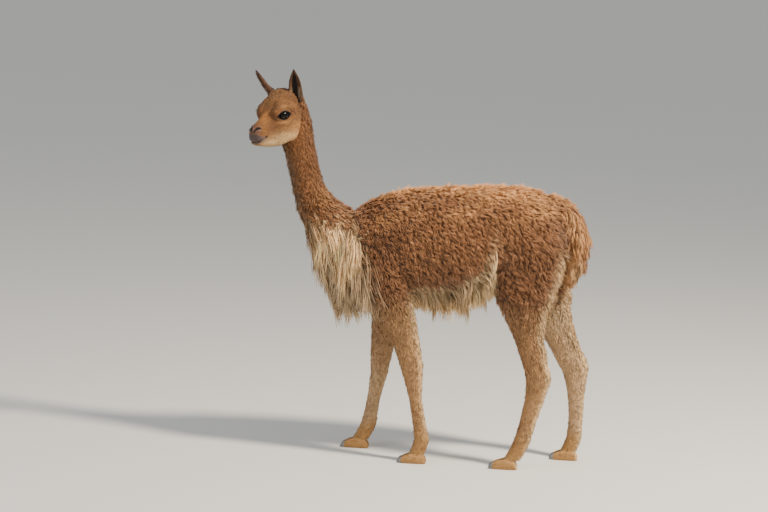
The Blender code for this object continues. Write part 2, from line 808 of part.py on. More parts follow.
def surface(thing):
    """A search tree over an object's mesh."""
    bm = bmesh.new()
    bm.from_mesh(thing.data)
    bmesh.ops.triangulate(bm, faces=bm.faces)
    tree = BVHTree.FromBMesh(bm)
    bm.free()
    return tree


def scattered(thing, apart, allowed, draws):
    """Points of a surface, with its normals there, that keep a least distance apart."""
    mesh = thing.data
    mesh.calc_loop_triangles()
    corners = np.array([[mesh.vertices[i].co for i in t.vertices] for t in mesh.loop_triangles])
    normals = np.cross(corners[:, 1] - corners[:, 0], corners[:, 2] - corners[:, 0])
    areas = np.linalg.norm(normals, axis=1)
    order = draws.choices(range(len(areas)), weights=areas, k=int(areas.sum() * 30 / apart**2))
    kept = []
    for i in order:
        u, v = sorted((draws.random(), draws.random()))
        a, b, c = (Vector(q) for q in corners[i])
        point = a * u + b * (v - u) + c * (1 - v)
        normal = Vector(normals[i]).normalized()
        if allowed(point, normal) and all((point - q).length > apart for q, _ in kept):
            kept.append((point, normal))
    return kept


def tangent(direction, normal):
    """A direction laid into the surface."""
    return (direction - normal * direction.dot(normal)).normalized()


def lock(name, point, normal, lie, length, size, lift, bend):
    """A flat, tapered lock: its root is sunk in the coat, and it bends towards its tip."""
    half_width, thickness = size
    across = lie.cross(normal).normalized()
    bm = bmesh.new()
    last = None
    start = point - normal * LOCK_ROOT

    def centre(t):
        rise = normal * (LOCK_ROOT + lift) * math.sin(math.pi * 0.5 * min(1.0, 1.6 * t))
        return start + lie * (length * t) + rise + bend * (length * t * t)

    for t, share in LOCK_SECTIONS:
        c = centre(t)
        side = across * (half_width * share)
        ridge = normal * (thickness * (0.5 + 0.5 * share))
        row = [bm.verts.new(q) for q in (c - side, c + side, c + ridge)]
        if last:
            for i in range(3):
                bm.faces.new((last[i], last[(i + 1) % 3], row[(i + 1) % 3], row[i]))
        else:
            bm.faces.new(row)
        last = row
    tip = bm.verts.new(centre(1.0))
    for i in range(3):
        bm.faces.new((last[i], last[(i + 1) % 3], tip))
    bmesh.ops.triangulate(bm, faces=bm.faces)
    return object_from(bm, name)


def clump(name, point, normal, lie, size, draws):
    """A rounded clump of wool, longer along its lie, half sunk in the coat."""
    low, top = 1 - CLUMP_VARIES, 1 + CLUMP_VARIES
    long, wide, high = (axis * draws.uniform(low, top) for axis in size)
    tip_up = (lie + normal * CLUMP_TILT).normalized()
    across = normal.cross(tip_up).normalized()
    up = tip_up.cross(across)
    basis = Matrix((tip_up, across, up)).transposed().to_4x4()
    spin = Matrix.Rotation(draws.uniform(-0.35, 0.35), 4, "Z")
    place = Matrix.Translation(point - up * high * CLUMP_SINK) @ basis @ spin
    shape = place @ Matrix.Diagonal((long, wide, high, 1.0))
    bm = bmesh.new()
    around, along = CLUMP_FACETS
    bmesh.ops.create_uvsphere(bm, u_segments=around, v_segments=along, radius=1.0, matrix=shape)
    bmesh.ops.triangulate(bm, faces=bm.faces)
    return object_from(bm, name)


def overgrown(thing, pieces, solver="EXACT"):
    """Fuses locks and clumps with the piece that they grow on."""
    group = bpy.data.collections.new(thing.name + "_coat")
    bpy.context.scene.collection.children.link(group)
    for piece in pieces:
        group.objects.link(piece)
        bpy.context.scene.collection.objects.unlink(piece)
    union = thing.modifiers.new("coat", "BOOLEAN")
    union.operation = "UNION"
    union.operand_type = "COLLECTION"
    union.collection = group
    union.solver = solver
    bake_modifiers(thing)
    for piece in pieces:
        remove(piece)
    bpy.data.collections.remove(group)
    thin = thing.modifiers.new("thin", "DECIMATE")
    thin.ratio = COAT_KEEPS
    bake_modifiers(thing)
    return largest_only(thing)


def trunk_lie(point):
    """The way the wool lies on trunk, shoulder and thigh: back along the top, down the sides."""
    side = min(1.0, abs(point.y) / 0.12)
    return Vector((1.0, 0, -0.35 - 1.1 * side))


def neck_lie(point):
    """The way the wool lies on the neck, down and back to the chest."""
    return Vector((0.30, 0, -1.0))


def fleece(body, region, apart, size, lie, name, seed):
    """Clumps of wool over the part of the body that a region names."""
    draws = random.Random(seed)
    made = []
    for point, normal in scattered(body, apart, region, draws):
        made.append(clump(name, point, normal, tangent(lie(point), normal), size, draws))
    return made


def on_torso(point, normal):
    """Where the torso and the thighs carry fleece."""
    if not CHEST_CUT - FLEECE_APART / 4 < point.x < FLEECE_REAR or normal.z < UNDERSIDE:
        return False
    low = next(height for x, height in FLEECE_FLOOR if point.x < x)
    inner = abs(point.y) < THIGH_INSIDE[0] and point.z < THIGH_INSIDE[1]
    under_tail = abs(point.y) < UNDER_TAIL[0] and point.x > UNDER_TAIL[1]
    return point.z > low and not inner and not under_tail


def on_chest(point, normal):
    """Where the shoulders and the base of the neck carry brown fleece, above the bib."""
    if point.x > CHEST_CUT + FLEECE_APART / 4 or normal.z < UNDERSIDE:
        return False
    above_bib = point.z > BIB_TOP or point.x > BIB_REAR
    return above_bib and point.z > SHOULDER_FLOOR and not above_neck_cut(point)


def above_neck_cut(point):
    """Tells whether a point belongs to the neck."""
    (nape_x, nape_z), (throat_x, throat_z) = NECK_CUT_NAPE, NECK_CUT_THROAT
    share = (point.x - throat_x) / (nape_x - throat_x)
    reach = NECK_APART / 4
    cut = throat_z + share * (nape_z - throat_z)
    return point.x < nape_x + 2 * reach and point.z > cut - reach


def on_neck(point, normal):
    """Where the neck carries its short fleece."""
    return above_neck_cut(point) and point.z < NECK_TOP


def bib_locks(body):
    """The long hair of the chest, in rows that overlap like shingles and hang to their tips."""
    draws = random.Random(11)
    tree = surface(body)
    made = []
    for row in range(BIB_ROWS):
        share = row / (BIB_ROWS - 1)
        z = BIB_TOP + (BIB_LOW - BIB_TOP) * share
        axis = Vector((BIB_AXIS_TOP + (BIB_AXIS_LOW - BIB_AXIS_TOP) * share, 0, z))
        count = BIB_ACROSS - row % 2
        for k in range(count):
            turn = math.radians(BIB_SPREAD * (2 * (k + 0.5) / count - 1) + draws.uniform(-4, 4))
            out = Vector((-math.cos(turn), math.sin(turn), -BIB_LOOK_DOWN * share)).normalized()
            hit, normal, _, _ = tree.ray_cast(axis, out)
            if hit is None or hit.x > BIB_REAR_HIT:
                continue
            lie = Vector((BIB_SWEEP, 0, -1.0)).normalized()
            if lie.dot(normal) < 0:
                lie = tangent(lie, normal)
            reach = hit.z - BIB_TIP - BIB_TIP_RISE * max(0.0, hit.x - BIB_AXIS_LOW)
            length = min(BIB_LENGTH, max(BIB_SHORTEST, reach)) * draws.uniform(0.86, 1.04)
            bend = Vector((draws.uniform(-0.10, 0.10), draws.uniform(-0.08, 0.08), -0.1))
            lift = draws.uniform(0.004, 0.012)
            made.append(lock("bib", hit, normal, lie, length, BIB_LOCK, lift, bend))
    return made


def belly_locks(body):
    """The fringe that hangs from the lower sides and the middle of the belly."""
    draws = random.Random(23)
    tree = surface(body)
    made = []
    for angle in BELLY_ANGLES:
        for side in (LEFT, RIGHT):
            for k in range(BELLY_ALONG):
                share = (k + draws.uniform(0.25, 0.75)) / BELLY_ALONG
                x = BELLY_START + (BELLY_END - BELLY_START) * share
                turn = math.radians(angle) * side
                down = Vector((0, math.sin(turn), -math.cos(turn)))
                hit, normal, _, _ = tree.ray_cast(Vector((x, 0, BELLY_AXIS)), down)
                if hit is None or hit.z < BELLY_LOW or abs(hit.y) > BELLY_HALF_WIDTH:
                    continue
                tip = BELLY_TIP + BELLY_RISE * max(0.0, share - BELLY_DEEPEST) ** 1.25
                reach = max(BELLY_SHORTEST, hit.z - tip)
                sweep = BELLY_SWEEP - BELLY_TURN * max(0.0, share - BELLY_DEEPEST)
                lie = Vector((sweep, 0.04 * side, -1.0)).normalized()
                bend = Vector((draws.uniform(-0.15, 0.25), draws.uniform(-0.10, 0.10), 0))
                length = reach * draws.uniform(0.80, 1.06)
                made.append(lock("belly", hit, normal, lie, length, BELLY_LOCK, 0.006, bend))
    return made


def tail_locks(core):
    """The hair of the tail: it falls along the tail and reaches past its end."""
    draws = random.Random(37)
    tree = surface(core)
    made = []
    for row in range(TAIL_ROWS):
        share = row / (TAIL_ROWS - 1)
        z = TAIL_TOP + (TAIL_LOW - TAIL_TOP) * share
        for k in range(TAIL_AROUND):
            part = (k + 0.5 * (row % 2)) / (TAIL_AROUND - 0.5)
            turn = math.radians(TAIL_SPREAD * (2 * part - 1))
            out = Vector((math.cos(turn), math.sin(turn), 0.1)).normalized()
            hit, normal, _, _ = tree.ray_cast(Vector((TAIL_AXIS, 0, z)), out)
            if hit is None:
                continue
            lie = tangent(Vector((0.05, 0, -1.0)), normal)
            bend = Vector((draws.uniform(0.0, 0.12), draws.uniform(-0.1, 0.1), 0))
            length = TAIL_HAIR * draws.uniform(0.88, 1.10)
            made.append(lock("tail", hit, normal, lie, length, TAIL_LOCK, 0.006, bend))
    return made


def tail_solid():
    """The tail: its core with the hair fused on."""
    core = tail_core()
    core.name = "tail"
    return overgrown(core, tail_locks(core))


def body_nodes():
    """The body, cut into torso, chest, neck and four legs, with the coat fused on."""
    body = body_parts()
    far = 1.0
    half = GAP / 2
    nodes = {}
    legs = []
    for name, (stations, side) in LEGS.items():
        top = ELBOW_CUT if name.startswith("fore") else GROIN_CUT
        x_low, x_high = (-far, HIND_START) if name.startswith("fore") else (HIND_START, far)
        y_low, y_high = (-far, 0.0) if side == LEFT else (0.0, far)
        keep = box("keep", (x_low, y_low, FETLOCK_CUT + half), (x_high, y_high, top - half))
        nodes[name] = largest_only(boolean(copied(body, name), keep, "INTERSECT"))
        legs.append(nodes[name])
        remove(keep)
    floor = ELBOW_CUT + half
    keep = box("keep", (-far, -far, floor), (far, far, 2.0))
    trunk = boolean_once(body, "trunk", keep, "INTERSECT")
    hind = box("hind", (HIND_START, -far, 0.0), (far, far, GROIN_CUT + half))
    boolean(trunk, hind, "DIFFERENCE")
    remove(hind)
    above = beyond_neck_cut("above", half)
    above_too = beyond_neck_cut("above", -half)

    keep = box("keep", (CHEST_CUT - ROOM, -far, 0), (far, far, 2))
    torso = boolean_once(trunk, "torso", keep, "INTERSECT")
    wool = fleece(body, on_torso, FLEECE_APART, FLEECE_SIZE, trunk_lie, "wool", 5)
    overgrown(torso, wool + belly_locks(body))
    front = box("front", (-far, -far, 0), (CHEST_CUT + half, far, 2))
    nodes["torso"] = boolean(torso, front, "DIFFERENCE")
    remove(front)

    keep = box("keep", (-far, -far, 0), (CHEST_CUT + ROOM, far, 2))
    chest = boolean_once(trunk, "chest", keep, "INTERSECT")
    wool = fleece(body, on_chest, FLEECE_APART, FLEECE_SIZE, trunk_lie, "wool", 7)
    overgrown(chest, wool + bib_locks(body))
    rear = box("rear", (CHEST_CUT - half, -far, ELBOW_CUT), (far, far, 2))
    boolean(chest, rear, "DIFFERENCE")
    nodes["chest"] = boolean(chest, above_too, "DIFFERENCE")
    remove(rear)

    neck = copied(body, "neck")
    overgrown(neck, fleece(body, on_neck, NECK_APART, NECK_CLUMP, neck_lie, "wool", 9))
    nodes["neck"] = boolean(neck, above, "INTERSECT")
    cleared_of(nodes["torso"], legs)
    cleared_of(nodes["chest"], [*legs, nodes["torso"]], "MANIFOLD")
    for name in ("torso", "chest", "neck"):
        largest_only(nodes[name])
    for helper in (above, above_too, trunk, body):
        remove(helper)
    return nodes


def boolean_once(thing, name, cutter, operation):
    """A new object: one object cut by a helper, which is removed."""
    made = boolean(copied(thing, name), cutter, operation)
    remove(cutter)
    return made


COATS = {
    "torso": ((0.42, 0.24, 0.12), 0.95),
    "chest": ((0.60, 0.48, 0.32), 0.95),
    "neck": ((0.38, 0.19, 0.09), 0.95),
    "head": ((0.42, 0.24, 0.12), 0.90),
    "tail": ((0.40, 0.22, 0.11), 0.95),
    "ear": ((0.36, 0.20, 0.11), 0.90),
    "eye": ((0.010, 0.008, 0.008), 0.10),
    "foreleg": ((0.55, 0.36, 0.20), 0.90),
    "hindleg": ((0.55, 0.36, 0.20), 0.90),
    "foot": ((0.50, 0.32, 0.18), 0.90),
    "nail": ((0.20, 0.18, 0.17), 0.45),
}


def finish(thing):
    """Centres a node, shades it and gives it its material."""
    thing.data.transform(Matrix.Translation(CENTRING))
    colour, roughness = COATS[thing.name.split("_")[0]]
    thing.data.materials.clear()
    thing.data.materials.append(material(thing.name, colour, roughness))
    thing.data.shade_smooth()


def main():
    """Builds the animal, piece by piece."""
    clear_scene()
    nodes = body_nodes()
    head, skull = head_solid()
    nodes["neck"] = cleared_of(nodes["neck"], [skull])
    tail = cleared_of(tail_solid(), [nodes["torso"]])
    made = [head, tail, *nodes.values()]
    for side, word in ((LEFT, "left"), (RIGHT, "right")):
        made.append(eye_solid(f"eye_{word}", side))
        made.append(ear_solid(f"ear_{word}", side, skull))
        for end in ("fore", "hind"):
            foot, nails = foot_solids(f"{end}_{word}", f"{end}leg_{word}")
            made += [foot, *nails]
    remove(skull)
    for thing in made:
        finish(thing)


main()
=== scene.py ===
"""The vicuna in its coat: one skin, its wool and hair in tufts, eyes, nails and a plain studio.

Metres, +Z up, the floor is z = 0. Sizes are given in the solids' own coordinates, before the
set-off that brings the middle of the animal to the origin. The animal faces -X, its left is -Y.
"""

import logging
import math
from dataclasses import dataclass, field
from enum import Enum
from typing import Callable, Iterable, Sequence

import bmesh
import bpy
import numpy as np
from mathutils import Matrix, Vector
from mathutils.bvhtree import BVHTree
from mathutils.kdtree import KDTree


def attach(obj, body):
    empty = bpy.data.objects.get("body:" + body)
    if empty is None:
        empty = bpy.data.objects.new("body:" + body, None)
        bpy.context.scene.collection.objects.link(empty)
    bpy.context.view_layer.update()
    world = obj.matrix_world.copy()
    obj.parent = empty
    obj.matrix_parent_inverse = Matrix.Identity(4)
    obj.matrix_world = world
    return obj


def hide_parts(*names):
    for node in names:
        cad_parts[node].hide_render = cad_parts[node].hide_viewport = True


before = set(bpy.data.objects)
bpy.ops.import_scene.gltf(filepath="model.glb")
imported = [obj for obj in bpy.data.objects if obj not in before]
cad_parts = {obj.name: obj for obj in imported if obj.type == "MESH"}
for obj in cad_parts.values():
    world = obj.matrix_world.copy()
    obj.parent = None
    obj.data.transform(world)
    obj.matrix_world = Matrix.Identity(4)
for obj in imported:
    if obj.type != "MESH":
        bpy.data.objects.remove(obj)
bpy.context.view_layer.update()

log = logging.getLogger("vicuna")
logging.basicConfig(level=logging.INFO, format="%(name)s: %(message)s")

Stations = Sequence[Sequence[float]]
Ring = tuple[Vector, Vector, Vector]
Thing = bpy.types.Object
Finish = bpy.types.Material
# An array that holds one place, direction, colour or weight a row.
Rows = np.ndarray

# Set-off that brings the middle of the animal to the origin, as in its solids.
CENTRING = Vector((-0.0105, 0.005, 0.0))
# Share of the wool's depth, from skin to tips, that the solids' core fills.
CORE_SHARE = 0.5


class Side(Enum):
    """A side of the animal, with the sign of Y on it."""

    LEFT = -1
    RIGHT = 1


class Operation(Enum):
    """What a Boolean does with its other operand."""

    JOIN = "UNION"
    CUT = "DIFFERENCE"


class Slot(Enum):
    """The kinds of the pieces; a layer's kind picks the finish of its pieces."""

    FLEECE = "body_fleece"
    PALE = "pale_hair"
    LEGS = "leg_coat"
    HEAD = "head_coat"
    EARS = "ear_coat"
    EYE = "eye"
    NAIL = "nail"


def linear(code: str) -> Rows:
    """Turns six hex digits of sRGB into linear red, green and blue from 0 to 1."""
    value = np.array([int(code[i : i + 2], 16) / 255 for i in (0, 2, 4)])
    return np.where(value <= 0.04045, value / 12.92, ((value + 0.055) / 1.055) ** 2.4)


def smooth(value: Rows, low: float, high: float) -> Rows:
    """Weights that rise smoothly from 0, where a value is low, to 1, where it is high."""
    t = np.clip((value - low) / (high - low), 0.0, 1.0)
    return t * t * (3 - 2 * t)


def unit(rows: Rows) -> Rows:
    """Scales vectors along the last axis to length 1."""
    return rows / np.maximum(np.linalg.norm(rows, axis=-1, keepdims=True), 1e-9)


def hill(value: Rows, width: float) -> Rows:
    """Weights that are 1 where a value is 0, and fall off like a bell over a width."""
    return np.exp(-((value / width) ** 2))


def waves(points: Rows, size: float, seed: int) -> Rows:
    """A soft random field made of a few crossing waves.

    Args:
        points: places, one a row.
        size: about how far apart its hills are, in metres.
        seed: which field.

    Returns:
        Values around 0, mostly between -1 and 1.
    """
    draws = np.random.default_rng(seed)
    total = np.zeros(len(points))
    for _ in range(7):
        way = unit(draws.normal(size=3)) * (2 * math.pi / size) * draws.uniform(0.6, 1.6)
        total += np.sin(points @ way + draws.uniform(0, 2 * math.pi))
    return total / 2.6


def placed(name: str, data: bpy.types.ID) -> Thing:
    """Makes an object of a mesh, camera or light and links it to the scene."""
    thing = bpy.data.objects.new(name, data)
    bpy.context.scene.collection.objects.link(thing)
    return thing


def object_from(bm: bmesh.types.BMesh, name: str) -> Thing:
    """Makes an object of a bmesh, with its faces turned outwards.

    Args:
        bm: the shape, which is freed.
        name: the object's name.

    Returns:
        The object, linked to the scene.
    """
    bmesh.ops.recalc_face_normals(bm, faces=bm.faces)
    mesh = bpy.data.meshes.new(name)
    bm.to_mesh(mesh)
    bm.free()
    return placed(name, mesh)


def remove(thing: Thing) -> None:
    """Deletes a helper object."""
    bpy.data.objects.remove(thing, do_unlink=True)


def bake_modifiers(thing: Thing) -> Thing:
    """Replaces an object's mesh by what its modifiers make of it.

    Args:
        thing: the object.

    Returns:
        The same object.
    """
    bpy.context.view_layer.update()
    graph = bpy.context.evaluated_depsgraph_get()
    mesh = bpy.data.meshes.new_from_object(thing.evaluated_get(graph))
    thing.modifiers.clear()
    thing.data = mesh
    return thing


def boolean(thing: Thing, other: Thing, operation: Operation, exact: bool = False) -> Thing:
    """Applies one Boolean with another object, which is then deleted.

    Args:
        thing: the object that changes.
        other: the other operand.
        operation: whether the other operand is added or cut away.
        exact: True where the operands cross each other in fine slivers.

    Returns:
        The changed object.
    """
    cut = thing.modifiers.new("cut", "BOOLEAN")
    cut.operation = operation.value
    cut.object = other
    cut.solver = "EXACT" if exact else "MANIFOLD"
    bake_modifiers(thing)
    remove(other)
    return thing


def joined(things: Iterable[Thing], name: str) -> Thing:
    """Puts several closed meshes in one object, still overlapping.

    Args:
        things: the objects, which are deleted.
        name: the new object's name.

    Returns:
        The new object.
    """
    bm = bmesh.new()
    for thing in things:
        bm.from_mesh(thing.data)
        remove(thing)
    return object_from(bm, name)


def fused(thing: Thing, voxel: float, rounds: int) -> Thing:
    """Draws one smooth closed skin over overlapping closed meshes.

    Args:
        thing: the object that changes.
        voxel: the size of the new faces.
        rounds: how often they are smoothed.

    Returns:
        The same object.
    """
    remesh = thing.modifiers.new("skin", "REMESH")
    remesh.mode = "VOXEL"
    remesh.voxel_size = voxel
    soften = thing.modifiers.new("soften", "SMOOTH")
    soften.factor = 0.5
    soften.iterations = rounds
    return bake_modifiers(thing)


def resampled(stations: Stations, step: float) -> list[Rows]:
    """Fits a smooth curve through stations.

    Args:
        stations: rows of sizes along a limb or trunk.
        step: about how far apart the new rows are.

    Returns:
        The new rows.
    """
    given = np.array(stations, float)
    rows = []
    for i in range(len(given) - 1):
        before, start, end = given[max(i - 1, 0)], given[i], given[i + 1]
        after = given[min(i + 2, len(given) - 1)]
        parts = max(1, round(np.abs(end - start)[:2].max() / step))
        for k in range(parts):
            t = k / parts
            bend = (2 * before - 5 * start + 4 * end - after) * t**2
            turn = (3 * start - before - 3 * end + after) * t**3
            rows.append(0.5 * (2 * start + (end - before) * t + bend + turn))
    rows.append(given[-1])
    return rows


def loft(name: str, rings: Sequence[Ring], sides: int, egg: float = 0.0, full: float = 1.0) -> Thing:
    """Makes a closed tube through oval sections.

    Args:
        name: the object's name.
        rings: each section's centre and its two half axes.
        sides: faces around the tube.
        egg: how much narrower the top of a section is.
        full: under 1 fills out the corners of a section.

    Returns:
        The tube.
    """
    bm = bmesh.new()
    last: list[bmesh.types.BMEdge] = []
    for i, (centre, across, up) in enumerate(rings):
        end = i in (0, len(rings) - 1)
        made = bmesh.ops.create_circle(bm, cap_ends=end, segments=sides, radius=1.0)
        for vert in made["verts"]:
            c, s = (math.copysign(abs(q) ** full, q) for q in (vert.co.x, vert.co.y))
            vert.co = centre + across * (c * (1 - egg * s)) + up * s
        around = set(made["verts"])
        edges = [e for v in around for e in v.link_edges if e.other_vert(v) in around]
        edges = list(dict.fromkeys(edges))
        if last:
            bmesh.ops.bridge_loops(bm, edges=last + edges)
        last = edges
    bmesh.ops.triangulate(bm, faces=[f for f in bm.faces if len(f.verts) > 4])
    return object_from(bm, name)


def ball(name: str, place: Matrix, half_axes: Sequence[float], facets: tuple[int, int]) -> Thing:
    """Makes a ball stretched to three half axes.

    Args:
        name: the object's name.
        place: where it goes.
        half_axes: its half length, half width and half height.
        facets: faces around it, and rings.

    Returns:
        The ball.
    """
    bm = bmesh.new()
    shape = place @ Matrix.Diagonal((*half_axes, 1.0))
    bmesh.ops.create_uvsphere(bm, u_segments=facets[0], v_segments=facets[1], radius=1.0, matrix=shape)
    return object_from(bm, name)


def read(items: bpy.types.bpy_prop_collection, key: str, width: int, kind: type = float) -> Rows:
    """Reads one property of all items of a mesh.

    Args:
        items: its vertices, loops or the like.
        key: the property.
        width: how many numbers it has.
        kind: the type of its numbers.

    Returns:
        The numbers, one item a row.
    """
    flat = np.empty(len(items) * width, np.float32 if kind is float else np.int32)
    items.foreach_get(key, flat)
    return flat.reshape(-1, width).astype(kind)


def corners_of(mesh: bpy.types.Mesh) -> Rows:
    """The places of a mesh's vertices, one a row."""
    return read(mesh.vertices, "co", 3)


def normals_of(mesh: bpy.types.Mesh) -> Rows:
    """The normals of a mesh's vertices, one a row."""
    return read(mesh.vertex_normals, "vector", 3)


def note(mesh: bpy.types.Mesh, name: str, values: Rows) -> None:
    """Gives a mesh's vertices a value each, or a colour where values has rows of three.

    Args:
        mesh: the mesh.
        name: the attribute's name.
        values: what it says of each vertex.
    """
    if values.ndim == 1:
        layer = mesh.attributes.new(name, "FLOAT", "POINT")
        layer.data.foreach_set("value", values.astype(np.float32))
        return
    layer = mesh.color_attributes.new(name, "FLOAT_COLOR", "POINT")
    rows = np.ones((len(values), 4), np.float32)
    rows[:, :3] = np.clip(values, 0, 1)
    layer.data.foreach_set("color", rows.ravel())


def set_corners(mesh: bpy.types.Mesh, points: Rows) -> None:
    """Moves all vertices of a mesh."""
    mesh.vertices.foreach_set("co", points.astype(np.float32).ravel())
    mesh.update()


def through(matrix: Matrix, points: Rows) -> Rows:
    """Moves points, one a row, by a rigid matrix."""
    m = np.array(matrix)
    return points @ m[:3, :3].T + m[:3, 3]


def distance_to_path(points: Rows, path: Rows) -> tuple[Rows, Rows]:
    """Finds how far points are from a polyline.

    Args:
        points: one a row.
        path: the polyline's corners, one a row.

    Returns:
        The distances, and how far along the path the nearest place is, from 0 to 1.
    """
    best = np.full(len(points), np.inf)
    along = np.zeros(len(points))
    for i in range(len(path) - 1):
        start, step = path[i], path[i + 1] - path[i]
        t = np.clip((points - start) @ step / max(step @ step, 1e-12), 0, 1)
        far = np.linalg.norm(points - start - t[:, None] * step, axis=1)
        nearer = far < best
        best[nearer] = far[nearer]
        along[nearer] = (i + t[nearer]) / (len(path) - 1)
    return best, along


def metres(rows: Stations, flags: int = 0) -> list[tuple[float, ...]]:
    """Turns a table of millimetres into metres, but for its last columns where they are flags."""
    return [tuple(v / 1000 if i < len(row) - flags else v for i, v in enumerate(row)) for row in rows]


# The sections of the body in millimetres, as in its solids.
# Trunk: x, its top, its underside, its half width and the depth of its wool.
TRUNK = metres([
    (-292, 720, 640, 40, 20), (-262, 765, 585, 82, 22), (-205, 806, 540, 112, 24),
    (-130, 848, 512, 132, 26), (-50, 873, 504, 142, 26), (40, 885, 508, 150, 26),
    (130, 893, 522, 154, 26), (210, 898, 552, 150, 26), (280, 900, 590, 142, 26),
    (350, 896, 612, 132, 26), (405, 876, 632, 114, 26), (450, 848, 660, 86, 24), (482, 806, 700, 44, 22),
])
# Neck: height, x of the throat side, x of the nape side, y, half width, wool.
NECK = metres([
    (560, -275, -120, 0, 78, 22), (620, -312, -110, 0, 90, 22), (680, -341, -120, 0, 92, 20),
    (725, -362, -140, 0, 86, 18), (765, -386, -180, 0, 75, 16), (795, -399, -225, 0, 65, 15),
    (822, -407, -272, 0, 58, 14), (860, -418, -306, 0, 52, 13), (910, -431, -324, -1, 49, 12),
    (965, -446, -338, -3, 50, 12), (1010, -463, -348, -6, 50, 11), (1050, -474, -354, -9, 49, 10),
    (1090, -470, -364, -11, 44, 9), (1130, -458, -380, -14, 35, 7), (1152, -446, -392, -14, 24, 6),
])
# Legs: height, x of the front edge, x of the back edge, y away from the middle, half width,
# depth of the hair, and 1 where that hair is wool.
FORELEG_NEAR = metres([
    (740, -150, -40, 60, 45, 26, 1), (680, -170, -12, 76, 54, 26, 1), (620, -165, -2, 84, 55, 24, 1),
    (560, -146, 2, 88, 51, 20, 1), (500, -121, 2, 91, 46, 12, 0), (437, -89, 16, 94, 40, 8, 0),
    (380, -62, 28, 95, 35, 7, 0), (325, -41, 39, 95, 33, 6, 0), (290, -29, 41, 95, 32, 5, 0),
    (250, -16, 41, 95, 28, 5, 0), (210, -4, 42, 95, 24, 4, 0), (143, 9, 55, 95, 22, 4, 0),
    (105, 16, 64, 95, 23, 4, 0), (78, 20, 69, 95, 26, 4, 0), (52, 14, 64, 95, 26, 4, 0),
    (30, 6, 58, 95, 24, 3, 0),
], flags=1)
FORELEG_FAR = metres([
    (740, -150, -40, 60, 45, 26, 1), (680, -172, -20, 76, 54, 26, 1), (620, -170, -20, 84, 55, 24, 1),
    (560, -164, -26, 88, 51, 20, 1), (500, -154, -40, 91, 46, 12, 0), (443, -151, -52, 94, 40, 8, 0),
    (390, -150, -62, 95, 36, 7, 0), (333, -150, -73, 95, 33, 6, 0), (300, -149, -78, 95, 32, 5, 0),
    (258, -147, -87, 95, 29, 5, 0), (210, -151, -98, 95, 24, 4, 0), (157, -157, -110, 95, 22, 4, 0),
    (105, -165, -117, 95, 23, 4, 0), (78, -172, -120, 95, 26, 4, 0), (52, -184, -131, 95, 26, 4, 0),
    (30, -196, -142, 95, 24, 3, 0),
], flags=1)
HINDLEG_NEAR = metres([
    (835, 300, 430, 50, 45, 26, 1), (770, 268, 462, 66, 62, 26, 1), (710, 256, 478, 76, 68, 26, 1),
    (650, 250, 474, 83, 68, 26, 1), (580, 250, 450, 89, 62, 22, 1), (520, 274, 431, 92, 54, 14, 1),
    (470, 300, 420, 94, 46, 10, 0), (430, 318, 418, 96, 40, 9, 0), (390, 335, 427, 98, 36, 8, 0),
    (345, 352, 438, 100, 34, 7, 0), (300, 365, 451, 100, 33, 6, 0), (262, 369, 443, 100, 31, 5, 0),
    (209, 364, 427, 100, 27, 4, 0), (156, 354, 411, 100, 25, 4, 0), (105, 343, 398, 100, 25, 4, 0),
    (78, 334, 389, 100, 26, 4, 0), (52, 322, 377, 100, 26, 4, 0), (30, 310, 365, 100, 24, 3, 0),
], flags=1)
HINDLEG_FAR = metres([
    (835, 300, 430, 50, 45, 26, 1), (770, 272, 466, 66, 62, 26, 1), (710, 270, 486, 76, 68, 26, 1),
    (650, 276, 494, 83, 68, 26, 1), (580, 298, 497, 89, 62, 22, 1), (520, 330, 497, 92, 54, 14, 1),
    (470, 362, 502, 94, 46, 10, 0), (430, 392, 513, 96, 40, 9, 0), (394, 419, 527, 98, 36, 8, 0),
    (355, 442, 546, 100, 34, 7, 0), (318, 463, 567, 100, 33, 6, 0), (280, 484, 565, 100, 32, 5, 0),
    (245, 494, 561, 100, 29, 5, 0), (209, 502, 559, 100, 26, 4, 0), (150, 508, 558, 100, 25, 4, 0),
    (105, 508, 556, 100, 25, 4, 0), (78, 506, 556, 100, 26, 4, 0), (52, 498, 550, 100, 26, 4, 0),
    (30, 488, 542, 100, 24, 3, 0),
], flags=1)
# Tail: x, z, half width and half thickness of its core.
TAIL = metres([
    (400, 850, 30, 24), (452, 828, 36, 28), (488, 784, 42, 32), (504, 730, 42, 34), (503, 684, 36, 28),
    (495, 646, 28, 22), (488, 618, 16, 14),
])
# Head, in its own frame: distance ahead of the occiput, top, underside, half width.
SKULL = metres([
    (2, 142, 90, 24), (14, 170, 50, 44), (36, 186, 26, 55), (62, 190, 13, 58), (86, 181, 7, 56),
    (106, 160, 5, 48), (124, 132, 5, 38), (140, 108, 6, 30.5), (156, 93, 8, 26.5), (172, 82, 11, 25.5),
    (185, 73, 22, 21.5), (192, 61, 37, 12),
])
# Swellings of the skull: ahead, side, height, then half length, half width, half height.
SKULL_SWELLINGS = metres([
    (95, 32, 112, 40, 24, 35), (84, 27, 138, 34, 20, 24), (56, 31, 62, 38, 26, 38),
    (30, 36, 132, 22, 18, 22), (172, 9, 53, 22, 18, 22), (164, 8, 21, 19, 14, 12),
])
# Ear: share of its length, half width and half depth.
EAR = [
    (-0.10, 0.0120, 0.0120),
    (0.06, 0.0165, 0.0130),
    (0.20, 0.0200, 0.0125),
    (0.40, 0.0215, 0.0110),
    (0.60, 0.0195, 0.0090),
    (0.78, 0.0145, 0.0065),
    (0.92, 0.0075, 0.0042),
    (1.00, 0.0030, 0.0025),
]


